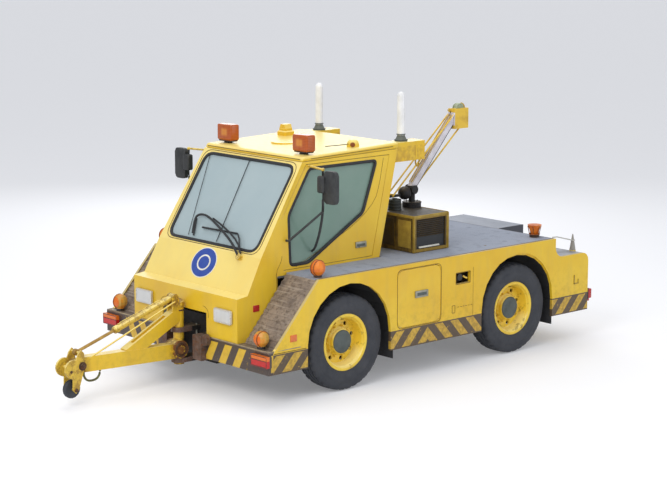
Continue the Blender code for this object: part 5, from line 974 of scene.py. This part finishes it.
def nose_fittings():
    basis = Matrix((Vector((1, 0, 0)), SLOPE_ALONG, SLOPE_NORMAL)).transposed().to_4x4()
    place = Matrix.Translation(on_slope(0.021, 0.59)) @ basis @ Matrix.Diagonal((1.08, 0.92, 1, 1))
    # Columns: name, paint, radius, height above the slope
    for name, paint, radius, out in (
            ("disc_rim", "white", 0.192, 0.0025), ("disc_field", "blue", 0.180, 0.0035),
            ("disc_ring", "white", 0.100, 0.0043), ("disc_middle", "blue", 0.080, 0.0050)):
        piece(name, Shape().rod((0, 0, 0), (0, 0, out), radius, 72).moved(place), paint)
    corners = [(x, -1.143, z) for x, z in ((0.562, 0.797), (0.838, 0.797), (0.838, 0.938), (0.562, 0.938))]
    bezels = Shape().bezel(corners, 0.0075, 0.012, (0, -1, 0)).mirror()
    piece("headlamp_frames", bezels, "chrome")
    piece("nose_reflectors", Shape().box((0.914, -0.905, 0.912), (0.921, -0.822, 0.982), 0.002).mirror(),
          "red")
    creases = Shape()
    creases.pipe([(0.425, -1.1205, 0.80), (0.425, -1.1205, 0.875), (0.37, -1.1205, 0.915),
                  (0.33, -1.1205, 0.918)], 0.0022, 6, smooth=2)
    creases.pipe([on_side(-0.575, 1.18, 0.0005), on_side(-0.575, 1.30, 0.0005), on_side(-0.50, 1.40, 0.0005),
                  on_side(-0.485, 1.46, 0.0005)], 0.0022, 6, smooth=1)
    creases.pipe([(0.9155, -0.60, 0.80), (0.9155, -0.575, 1.05), on_side(-0.575, 1.18, 0.0005)], 0.0022, 6)
    piece("nose_creases", creases.mirror(), "crease")
    post = Shape().rod((0.06, -1.0, 0.44), (0.06, -1.0, 0.665), 0.009, 12)
    post.box((0.03, -1.012, 0.43), (0.09, -0.988, 0.44))
    piece("recess_post", post, "plate")


def bumper_fittings():
    lip = Shape().pipe([(0.50, -1.130, 0.598), (1.395, -1.130, 0.598), (1.436, -1.098, 0.598),
                        (1.440, -0.70, 0.598)], 0.007, 8, smooth=1)
    piece("bumper_lip", lip.mirror(), "worn_edge")
    corners = [(x, -1.170, z) for x, z in ((1.206, 0.446), (1.454, 0.446), (1.454, 0.554), (1.206, 0.554))]
    frames = Shape().bezel(corners, 0.005, 0.006, (0, -1, 0), 0.008)
    frames.box((1.206, -1.1775, 0.509), (1.454, -1.170, 0.515))
    piece("corner_lamp_frames", frames.mirror(), "black")
    grooves = Shape()
    for spot in ((1.278, -1.075, 0.7100), (1.352, -0.36, 1.3797), (1.308, -0.36, 1.3797)):
        grooves.ring(spot, 0.0815, 0.006)
    piece("marker_grooves", grooves.mirror(), "amber_dark")


# Tow arm

ARM_LUG = Vector((0, -1.275, 0.985))
HEAD_EYE = Vector((0, -2.53, 0.575))
CYLINDER_ALONG = HEAD_EYE - ARM_LUG
CYLINDER_UP = Vector((0, -0.3106, 0.9506))


def along_cylinder(share, out=0.0):
    return ARM_LUG + CYLINDER_ALONG * share + CYLINDER_UP * out


def tow_fittings():
    rod = Shape().pipe([(0.054, -1.285, 0.940), (0.054, -2.405, 0.500)], 0.009, 12)
    piece("arm_tie_rod", rod, "yellow", "tow_arm")
    loop = [(0, y, z) for y, z in ((-2.445, 0.372), (-2.442, 0.30), (-2.405, 0.250), (-2.34, 0.238),
                                   (-2.275, 0.250), (-2.238, 0.30), (-2.235, 0.372))]
    piece("arm_loop", Shape().pipe(loop, 0.012, 10, smooth=2), "dull_green", "tow_arm")
    bosses = Shape().ring((0.089, -1.235, 0.4126), 0.076, 0.007, "X", 36)
    bosses.ring((0.090, -1.235, 0.4126), 0.060, 0.005, "X", 36).mirror()
    bosses.ring((0, -1.20, 0.838), 0.059, 0.008, "Z", 36)
    bosses.ring((0, -1.20, 0.625), 0.060, 0.007, "Z", 36)
    piece("arm_bosses", bosses, "rusty", "tow_arm")
    nuts = Shape()
    # Columns: y, z, start x, reach, radius, segments
    for y, z, start, reach, radius, segments in (
            (-2.52, 0.44, 0.094, 0.010, 0.046, 28), (-2.52, 0.44, 0.103, 0.020, 0.033, 6),
            (-2.52, 0.44, 0.122, 0.010, 0.017, 14), (-2.66, 0.40, 0.094, 0.008, 0.016, 6),
            (-2.60, 0.195, 0.088, 0.016, 0.022, 6)):
        nuts.rod((start, y, z), (start + reach, y, z), radius, segments)
    piece("head_nuts", nuts.mirror(), "rusty", "tow_head")
    caps = Shape()
    for start, end, radius in ((0.575, 0.612, 0.0405), (0.085, 0.11, 0.0385), (0.33, 0.345, 0.037)):
        caps.rod(along_cylinder(start), along_cylinder(end), radius, 28)
    line = ((0.13, 0.034), (0.14, 0.046), (0.54, 0.046), (0.56, 0.034))
    caps.pipe([along_cylinder(share, out) for share, out in line], 0.005, 8)
    for share in (0.13, 0.56):
        caps.rod(along_cylinder(share, 0.02), along_cylinder(share, 0.044), 0.010, 6)
    piece("cylinder_fittings", caps, "head", "tow_cylinder")


# Doors and roof

def door_fittings():
    handle_z = 1.452
    leaning = Matrix.Translation((lean_x(NOSE_HALF, handle_z) + 0.0075, 0, handle_z))
    leaning = leaning @ Matrix.Rotation(-math.atan(LEAN), 4, "Y")
    plate = Shape().box((-0.009, 0.568, -0.033), (0.009, 0.724, 0.033), 0.004)
    pair("handle_plate", plate.moved(leaning), "plate", "cab_door")
    lever = Shape().box((0.008, 0.580, -0.016), (0.013, 0.700, 0.010), 0.002)
    lever.box((0.008, 0.600, -0.028), (0.011, 0.625, -0.020))
    pair("handle_lever", lever.moved(leaning), "hub", "cab_door")
    seam = ((-0.30, 1.322), (-0.239, 1.344), (0.424, 1.614), (0.697, 1.762), (0.885, 1.918), (0.955, 2.08),
            (1.02, 2.33), (1.03, 2.375))
    crease = Shape().pipe([on_side(y, z, 0.0005) for y, z in seam], 0.0024, 6, smooth=1)
    pair("door_crease", crease, "crease", "cab_door")


def mirror_fittings():
    stem = Shape().pipe([(1.165, -0.14, 2.385), (1.165, -0.14, 1.935), (0.932, -0.42, 1.62),
                         (0.889, -0.42, 1.62)], 0.0135, 10)
    stem.pipe([(1.165, -0.142, 2.06), (1.150, -0.125, 1.94), (1.060, -0.09, 1.70), (0.950, -0.065, 1.50),
               on_side(-0.062, 1.463, -0.004)], 0.0140, 10, smooth=2)
    shell = [(x, 0, z) for x, z in ((1.205, 2.03), (1.395, 2.03), (1.395, 2.38), (1.205, 2.38))]
    head = Shape().prism([(spot.x, spot.z) for spot in rounded_loop(shell, 0.045)], -0.168, -0.115, "front")
    caps = [edge for edge in head.bm.edges if abs(edge.verts[0].co.y - edge.verts[1].co.y) < 0.001]
    bmesh.ops.bevel(head.bm, geom=caps, offset=0.011, segments=3, affect="EDGES", profile=0.5)
    # Columns: low corner, high corner, bevel
    for low, high, bevel in (((1.115, -0.190, 2.135), (1.225, -0.112, 2.320), 0.022),
                             ((1.236, -0.1705, 2.17), (1.244, -0.1670, 2.27), 0.0),
                             ((1.215, -0.158, 2.14), (1.24, -0.122, 2.28), 0.0)):
        head.box(low, high, bevel, 3)
    pair("mirror_head", head, "mirror_shell", "cab_door")
    pair("mirror_stem", stem, "mirror_shell", "cab_door", "mirror")
    arm = Shape().pipe([(0.8485, -0.07, 2.385), (0.892, -0.07, 2.385), (1.165, -0.14, 2.385)], 0.012, 10)
    arm.ball((1.165, -0.14, 2.385), 0.019)
    pair("mirror_arm", arm, "head", "cab_door")
    glass = Shape().box((1.218, -0.1165, 2.045), (1.382, -0.1125, 2.365), 0.0015)
    pair("mirror_glass", glass, "mirror_glass", "cab_door")


def roof_fittings():
    beacon = Shape().box((0.530, -0.031, 2.518), (0.780, 0.099, 2.699), 0.020, 3)
    beacon.box((0.550, -0.018, 2.505), (0.760, 0.086, 2.519), 0.003)
    beacon.rod((0.655, 0.034, 2.486), (0.655, 0.034, 2.506), 0.052, 24, 0.040)
    beacon.box((0.651, -0.0325, 2.540), (0.659, -0.0300, 2.680))
    pair("beacon", beacon, "beacon", replaces="roof_beacon", angle=40)
    seams = Shape().pipe([(0.8465, -0.03, 2.4575), (0.8465, 1.18, 2.487)], 0.0035, 6).mirror()
    seams.pipe([(-0.80, -0.1475, 2.4560), (0.80, -0.1475, 2.4560)], 0.0040, 6)
    piece("roof_seams", seams, "crease")
    wire = Shape().pipe([(0.672, 0.70, 2.545), (0.655, 0.62, 2.538), (0.62, 0.50, 2.533),
                         (0.59, 0.40, 2.531)], 0.0045, 8, smooth=1)
    piece("roof_aerial", wire, "black")
    knobs = Shape().box((-0.650, 0.778, 2.560), (-0.538, 0.890, 2.600), 0.010)
    knobs.prism([(-0.645, 2.595), (-0.543, 2.595), (-0.560, 2.640), (-0.628, 2.640)], 0.783, 0.885, "front")
    knobs.turned([(2.495, 0.0), (2.495, 0.070), (2.520, 0.070), (2.560, 0.062), (2.585, 0.042), (2.592, 0.0)],
                 (0.672, 0.735, 0), "Z", 32)
    piece("roof_knobs", knobs, "roof")
    spot = Shape().rod((0.695, 0.700, 2.535), (0.728, 0.682, 2.537), 0.026, 20)
    piece("dome_lens", spot, "amber_dark")
    shackle = [(0.74, y, z) for y, z in ((1.632, 2.315), (1.630, 2.25), (1.650, 2.215), (1.672, 2.212),
                                         (1.690, 2.25), (1.690, 2.315))]
    piece("lamp_arm_shackles", Shape().pipe(shackle, 0.0085, 10, smooth=2).mirror(), "hoist_yellow")
    clamps = Shape().ring((0.70, 1.44, 2.592), 0.047, 0.006, "Z", 36)
    clamps.ring((0.70, 1.44, 2.527), 0.074, 0.005, "Z", 36)
    piece("tube_clamps", clamps.mirror(), "hub")
    ribs = Shape()
    for x in (0.617, 0.8215):
        ribs.box((x, 1.56, 2.31), (x + 0.0015, 1.575, 2.505))
    piece("lamp_arm_ribs", ribs.mirror(), "yellow")


# Sides, tail and deck

def side_seams():
    """Panel joints, a slot and vents on the side panels."""
    seams = Shape()
    x = SIDE_SKIN
    # Columns: low y, low z, high y, high z, corner radius, the line's own radius
    for y, z, far, top, radius, line in ((0.694, 0.570, 1.366, 1.230, 0.076, 0.0032),
                                         (1.540, 0.632, 1.584, 0.716, 0.006, 0.0030),
                                         (1.595, 0.950, 1.825, 1.083, 0.012, 0.0030)):
        loop = [(x, y, z), (x, far, z), (x, far, top), (x, y, top)]
        seams.pipe(rounded_loop(loop, radius), line, 6, closed=True)
    seams.pipe([(x, 1.872, 0.566), (x, 1.872, 1.12)], 0.0016, 6)
    for i in range(6):
        seams.pipe([(x, 1.625 + i * 0.042, 0.690), (x, 1.650 + i * 0.042, 0.690)], 0.0028, 6)
    seams.pipe([(x, -1.06, 0.573), (x, -0.62, 0.573)], 0.0040, 6)
    piece("side_seams", seams.mirror(), "crease")


def side_fittings():
    marks = Shape().box((1.442, -0.840, 0.668), (1.4490, -0.752, 0.740), 0.002)
    piece("side_reflectors", marks.mirror(), "orange")
    caps = Shape().rod((1.375, 1.69, 1.020), (1.412, 1.69, 1.020), 0.040, 28)
    piece("filler_caps", caps.mirror(), "black")
    grips = Shape().pipe([(1.405, 1.745, 1.030), (1.416, 1.765, 1.010), (1.424, 1.790, 1.000)], 0.010, 8)
    piece("filler_grips", grips.mirror(), "yellow")
    brackets = Shape()
    # Columns: low y, high y, high z
    for y, far, top in ((3.585, 3.595, 0.800), (3.655, 3.665, 0.745), (3.585, 3.665, 0.700)):
        brackets.box((1.442, y, 0.690), (1.4495, far, top))
    piece("tail_brackets", brackets.mirror(), "ochre_edge")
    latch = Shape().box((SIDE_SKIN, 0.957, 0.887), (1.4565, 1.153, 0.963), 0.003)
    pair("latch_plate", latch, "plate", "access_door")
    grip = Shape().box((1.456, 0.985, 0.908), (1.4592, 1.125, 0.942), 0.0012)
    pair("latch_grip", grip, "hub", "access_door")
    lamps = Shape().box((1.236, 3.850, 0.480), (1.450, 3.908, 0.596), 0.010)
    piece("tail_lamps", lamps.mirror(), "red")
    backs = Shape().box((1.244, 3.842, 0.472), (1.446, 3.858, 0.604), 0.003)
    piece("tail_lamp_backs", backs.mirror(), "black")
    rails = Shape().pipe([(1.385, 3.262, 1.285), (1.355, 3.37, 1.275), (1.262, 3.748, 1.178)], 0.0075, 10)
    rails.ring((1.25, 3.77, 1.175), 0.024, 0.006, "Z", 24)
    piece("tail_rails", rails.mirror(), "pale_steel")
    trim = Shape().pipe([(1.4115, -0.42, 1.2785), (1.4115, 3.24, 1.2785)], 0.0030, 6)
    trim.box((1.188, 2.30, DECK_TOP), (1.212, 2.322, 1.2798))
    piece("deck_seams", trim.mirror(), "crease")
    flaps = Shape().box((1.13, 0.664, 0.245), (1.402, 0.672, 0.60), 0.002)
    piece("front_mud_flaps", flaps.mirror(), "seal")
    ribs = Shape()
    for c, s in ring_points(1, 6):
        # Columns: radius from the cone's middle, height
        ribs.pipe([(1.20 + r * c, 3.145 + r * s, z)
                   for r, z in ((0.061, 1.322), (0.082, 1.412), (0.060, 1.4265))], 0.005, 6)
    ribs.ring((1.20, 3.145, 1.3165), 0.061, 0.006, "Z", 36)
    piece("cone_ribs", ribs.mirror(), "amber_dark")


# Generator and hoist

def generator_fittings():
    trim = Shape()
    for x in (0.182, 1.028):
        for y in (1.337, 1.873):
            inward = y + (1.605 - y) * 0.08
            trim.box((x - 0.014, y - 0.006, 1.284), (x + 0.014, y + 0.006, 1.699), 0.002)
            trim.box((x - 0.005, min(y, inward), 1.284), (x + 0.005, max(y, inward), 1.699), 0.002)
    for y in (1.334, 1.876):
        trim.box((0.18, y - 0.004, 1.672), (1.03, y + 0.004, 1.704), 0.002)
    for x in (0.179, 1.031):
        trim.box((x - 0.004, 1.335, 1.672), (x + 0.004, 1.875, 1.704), 0.002)
    piece("generator_trim", trim, "ochre_edge")
    slats = Shape()
    for i in range(9):
        z = 1.46 + i * 0.022
        slats.box((1.008, 1.400, z), (1.022, 1.810, z + 0.009),
                  turn=Matrix.Rotation(math.radians(24), 4, "Y"))
    hatches = Shape()
    for x, panel in ((0.32, slats), (0.60, slats), (0.88, hatches)):
        for y in (1.3285, 1.874):
            panel.box((x - 0.105, y, 1.33), (x + 0.105, y + 0.0075, 1.64), 0.004)
    piece("generator_panels", slats, "ochre_dark")
    piece("generator_hatches", hatches, "ochre_edge")
    bars = Shape().box((1.008, 1.427, 1.327), (1.026, 1.745, 1.345), 0.004)
    bars.box((1.008, 1.427, 1.299), (1.020, 1.752, 1.307), 0.002)
    piece("generator_bars", bars, "white")
    drum = Shape()
    for z in (1.712, 1.748, 1.786, 1.812):
        drum.ring((0.52, 1.52, z), 0.0745, 0.0045, "Z", 40)
    drum.rod((0.52, 1.52, 1.815), (0.52, 1.52, 1.832), 0.030, 20)
    piece("drum_bands", drum, "hub")


BOOM_ALONG = Vector((0, 0.68, 0.78))
BOOM_UP = Vector((0, -0.7538, 0.6571))
FLANGE_SECTION = [(1.7460, 0.0), (1.7460, 0.108), (1.7480, 0.112), (1.7620, 0.112), (1.7640, 0.106),
                  (1.7640, 0.0)]


def along_boom(share, out=0.0, x=0.0):
    return BOOM_FOOT + BOOM_ALONG * share + BOOM_UP * out + Vector((x, 0, 0))


def hoist_fittings():
    rails = Shape()
    for x in (-0.018, 0.018):
        rails.pipe([along_boom(0.05, 0.051, x), along_boom(0.985, 0.051, x)], 0.006, 6)
    rails.pipe([along_boom(0.97, 0.046), along_boom(1.02, 0.075), along_boom(1.00, 0.12)], 0.007, 6)
    rails.pipe([(0.50, 2.60, 2.845), (0.50, 2.645, 2.825), (0.50, 2.655, 2.78)], 0.010, 10, smooth=2)
    piece("boom_rails", rails, "hoist_yellow", "hoist")
    dark = Shape()
    for x in (-0.016, 0.016):
        dark.pipe([along_boom(0.04, -0.046, x), along_boom(0.93, -0.046, x)], 0.009, 6)
    dark.ball((0.50, 1.695, 1.872), 0.078, 28, 18)
    dark.rod((0.435, 1.80, 1.905), (0.565, 1.80, 1.905), 0.045, 24)
    for x in (0.44, 0.56):
        dark.ring((x, 1.80, 1.905), 0.045, 0.008, "X", 32)
    dark.turned(FLANGE_SECTION, (0.50, 1.81, 0), "Z", 48)
    for x, y in ring_points(0.088, 8):
        dark.rod((0.50 + x, 1.81 + y, 1.762), (0.50 + x, 1.81 + y, 1.771), 0.008, 6)
    piece("hoist_dark_parts", dark, "mast", "hoist")
    sheave = Shape()
    for x in (0.472, 0.528):
        sheave.ring((x, 2.545, 2.790), 0.050, 0.007, "X", 36)
    sheave.rod((0.462, 2.545, 2.790), (0.538, 2.545, 2.790), 0.012, 16)
    piece("sheave_rims", sheave, "cap", "hoist")


# Cab interior

def cab_fittings():
    dash = Shape()
    dash.prism([(-0.505, 1.441), (-0.365, 1.441), (-0.375, 1.50), (-0.43, 1.535), (-0.505, 1.52)],
               -0.60, -0.20)
    dash.box((0.10, -0.356, 1.20), (0.62, -0.350, 1.36), 0.004)
    dash.box((-0.14, -0.356, 1.30), (0.06, -0.350, 1.41), 0.004)
    piece("dash_parts", dash, "dash")
    dials = Shape()
    for x, radius in ((-0.51, 0.030), (-0.43, 0.036), (-0.345, 0.036), (-0.265, 0.030)):
        dials.rod((x, -0.372, 1.475), (x, -0.364, 1.477), radius, 28)
    for i in range(6):
        dials.box((-0.125 + i * 0.03, -0.351, 1.34), (-0.107 + i * 0.03, -0.343, 1.37), 0.002)
    piece("dials", dials, "white")
    levers = Shape()
    levers.pipe([(0.02, 0.10, 1.0), (0.02, 0.08, 1.15), (0.02, 0.03, 1.30)], 0.009, 10, smooth=1)
    levers.ball((0.02, 0.027, 1.312), 0.024)
    levers.pipe([(-0.06, 0.22, 1.0), (-0.06, 0.18, 1.12), (-0.06, 0.15, 1.22)], 0.011, 10, smooth=1)
    levers.pipe([(-0.40, -0.295, 1.57), (-0.31, -0.27, 1.60), (-0.245, -0.26, 1.615)], 0.005, 8)
    for x in (-0.54, -0.42, -0.30):
        levers.box((x - 0.032, -0.300, 1.055), (x + 0.032, -0.288, 1.125), 0.004,
                   turn=Matrix.Rotation(math.radians(-28), 4, "X"))
        levers.rod((x, -0.30, 1.10), (x, -0.350, 1.21), 0.007, 8)
    piece("cab_levers", levers, "black")


SEAT_X = 0.40
SEAT_BACK_LEAN = 0.226


def seat_frames():
    """Bellows plinth, pan and back shell of each seat."""
    x = SEAT_X
    shape = Shape().box((x - 0.165, 0.09, 1.003), (x + 0.165, 0.44, 1.030), 0.005)
    for i in range(8):
        grow = 0.012 if i % 2 else 0.0
        z = 1.034 + i * 0.031
        shape.box((x - 0.135 - grow, 0.115 - grow, z), (x + 0.135 + grow, 0.415 + grow, z + 0.026), 0.008)
    shape.box((x - 0.215, 0.045, 1.285), (x + 0.215, 0.50, 1.318), 0.010)
    outline = [(0.492, 1.30), (0.512, 1.30), (0.520, 1.44), (0.650, 2.02), (0.634, 2.02), (0.502, 1.44)]
    shape.prism(outline, x - 0.19, x + 0.19)
    pair("seat_frame", shape, "black", replaces="seat")


# The furthest that stuffing pushes a point of a pad out, and how long it is simulated
PAD_CAP = 0.024
PAD_FRAMES = 20


def evaluated(thing):
    """Bake a piece's modifiers into its mesh."""
    mesh = bpy.data.meshes.new_from_object(thing.evaluated_get(bpy.context.evaluated_depsgraph_get()))
    thing.modifiers.clear()
    old = thing.data
    thing.data = mesh
    bpy.data.meshes.remove(old)


def swell(thing):
    """Stuff a closed form: cloth under pressure, each point's travel capped."""
    remesh = thing.modifiers.new("remesh", "REMESH")
    remesh.mode = "VOXEL"
    remesh.voxel_size = 0.007
    evaluated(thing)
    rest = [v.co.copy() for v in thing.data.vertices]
    cloth = thing.modifiers.new("cloth", "CLOTH")
    cloth.settings.quality = 5
    cloth.settings.use_pressure = True
    cloth.settings.uniform_pressure_force = 4.0
    cloth.settings.effector_weights.gravity = 0.0
    cloth.point_cache.frame_end = PAD_FRAMES
    for step in range(1, PAD_FRAMES + 1):
        bpy.context.scene.frame_set(step)
    evaluated(thing)
    for vert, start in zip(thing.data.vertices, rest):
        travel = vert.co - start
        if travel.length > PAD_CAP:
            vert.co = start + travel * (PAD_CAP / travel.length)
    bpy.context.scene.frame_set(1)
    thing.modifiers.new("smooth", "SUBSURF").levels = 1
    evaluated(thing)


def sew(thing, channels, across, depth=0.007, width=0.008):
    """Press sewn lines into a pad: channels are x places, and stitches pull along the axis across."""
    outward = 1 if across == 2 else -1
    # The normals are all read first, because moving a point makes them be worked out anew
    faces_out = [vert.normal[across] * outward > 0.3 for vert in thing.data.vertices]
    for vert, outer in zip(thing.data.vertices, faces_out):
        if outer:
            pull = sum(math.exp(-((vert.co.x - x) / width) ** 2) for x in channels)
            vert.co[across] -= depth * pull * outward


def seats():
    cushion = Shape().box((-0.212, 0.040, 1.330), (0.212, 0.470, 1.400), 0.026, 3)
    back = Shape().box((-0.200, 0.425, 1.440), (0.200, 0.485, 2.030), 0.024, 3)
    for vert in back.bm.verts:
        vert.co.y += (vert.co.z - 1.44) * SEAT_BACK_LEAN
        vert.co.x *= 1.0 - max(vert.co.z - 1.80, 0) * 0.35
    pads = []
    for name, shape, across in (("seat_cushion", cushion, 2), ("seat_back", back, 1)):
        pad = piece(name + "_left", shape, "cloth", angle=180)
        swell(pad)
        sew(pad, (-0.10, 0.10), across)
        pads.append((name, pad))
    for name, pad in pads:
        twin = bpy.data.objects.new(name + "_right", pad.data.copy())
        bpy.context.scene.collection.objects.link(twin)
        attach(twin, "tractor")
        for thing, x, side in ((pad, SEAT_X, "left"), (twin, -SEAT_X, "right")):
            thing.data.transform(Matrix.Translation((x, 0, 0)))
            thing.data.shade_smooth()
            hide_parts("seat_" + side)
    seat_frames()


# Underside

def running_gear():
    shafts = Shape()
    for axle_y in (0.0, WHEELBASE):
        shafts.rod((0.50, axle_y + 0.12, 0.50), (0.41, axle_y + 0.20, 0.77), 0.022, 14)
        for i, half in enumerate((0.44, 0.33, 0.22)):
            low = 0.6105 - i * 0.008
            shafts.box((0.305, axle_y - half, low), (0.375, axle_y + half, low + 0.0065))
    shafts.mirror()
    shafts.rod((0, 0.15, 0.525), (0, 0.99, 0.60), 0.030, 20)
    shafts.rod((0, 1.91, 0.60), (0, 2.46, 0.525), 0.030, 20)
    for y, z in ((0.21, 0.530), (0.93, 0.595), (1.97, 0.592), (2.40, 0.533)):
        shafts.rod((0, y - 0.03, z), (0, y + 0.03, z), 0.048, 20)
    piece("running_gear", shafts, "frame")
    tank = Shape().box((-0.74, 1.02, 0.375), (-0.43, 1.80, 0.600), 0.03, 3)
    for y in (1.20, 1.62):
        tank.box((-0.747, y - 0.02, 0.368), (-0.423, y + 0.02, 0.607), 0.03, 3)
    tank.rod((0.58, 1.32, 0.450), (0.58, 1.92, 0.450), 0.085, 28)
    for path in (((0.30, 1.14, 0.60), (0.42, 1.16, 0.56), (0.58, 1.24, 0.45), (0.58, 1.34, 0.45)),
                 ((0.58, 1.90, 0.45), (0.58, 2.02, 0.45), (0.66, 2.08, 0.42), (0.70, 2.10, 0.385))):
        tank.pipe(path, 0.028, 12, smooth=1)
    piece("tank_and_exhaust", tank, "frame")


for build in (seals, screen_fittings, nose_fittings, bumper_fittings, tow_fittings, door_fittings,
              mirror_fittings, roof_fittings, side_seams, side_fittings, generator_fittings, hoist_fittings,
              cab_fittings, seats, running_gear):
    build()


# Camera, light and floor

def aimed(name, data, place, target):
    """An object in the scene whose -Z axis points at a target."""
    made = bpy.data.objects.new(name, data)
    bpy.context.scene.collection.objects.link(made)
    made.location = place
    made.rotation_euler = (Vector(target) - made.location).to_track_quat("-Z", "Y").to_euler()
    return made


def studio():
    scene = bpy.context.scene
    scene.view_settings.view_transform = "Standard"
    camera = bpy.data.cameras.new("camera")
    camera.lens = 103.8
    camera.sensor_width = 36
    scene.camera = aimed("camera", camera, (16.305, -13.452 - MIDDLE, 5.241), (0, 1.045 - MIDDLE, 1.215))
    # Columns: name, place, size, power, colour
    for name, place, size, power, tint in (("key", (5.5, -10.5, 9.0), 6.0, 760, (1.0, 0.98, 0.95)),
                                           ("fill", (11.0, 5.0, 5.0), 7.0, 210, (0.93, 0.96, 1.0)),
                                           ("top", (-1.0, 0.5, 11.0), 7.0, 280, (1.0, 1.0, 1.0)),
                                           ("back", (-9.0, 7.0, 6.0), 6.0, 260, (1.0, 1.0, 1.0))):
        lamp = bpy.data.lights.new(name, "AREA")
        lamp.size = size
        lamp.energy = power
        lamp.color = tint
        aimed(name, lamp, place, (0, 0, 0.8))
    world = bpy.data.worlds.new("studio")
    scene.world = world
    world.use_nodes = True
    sky = world.node_tree.nodes["Background"]
    sky.inputs[0].default_value = (0.84, 0.86, 0.90, 1)
    sky.inputs[1].default_value = 0.72
    ground = Shape().box((-260, -260, -0.02), (260, 260, -0.001))
    mesh = bpy.data.meshes.new("floor")
    ground.bm.to_mesh(mesh)
    ground.bm.free()
    floor = bpy.data.objects.new("floor", mesh)
    scene.collection.objects.link(floor)
    mesh.materials.append(PAINTS["floor"])


studio()
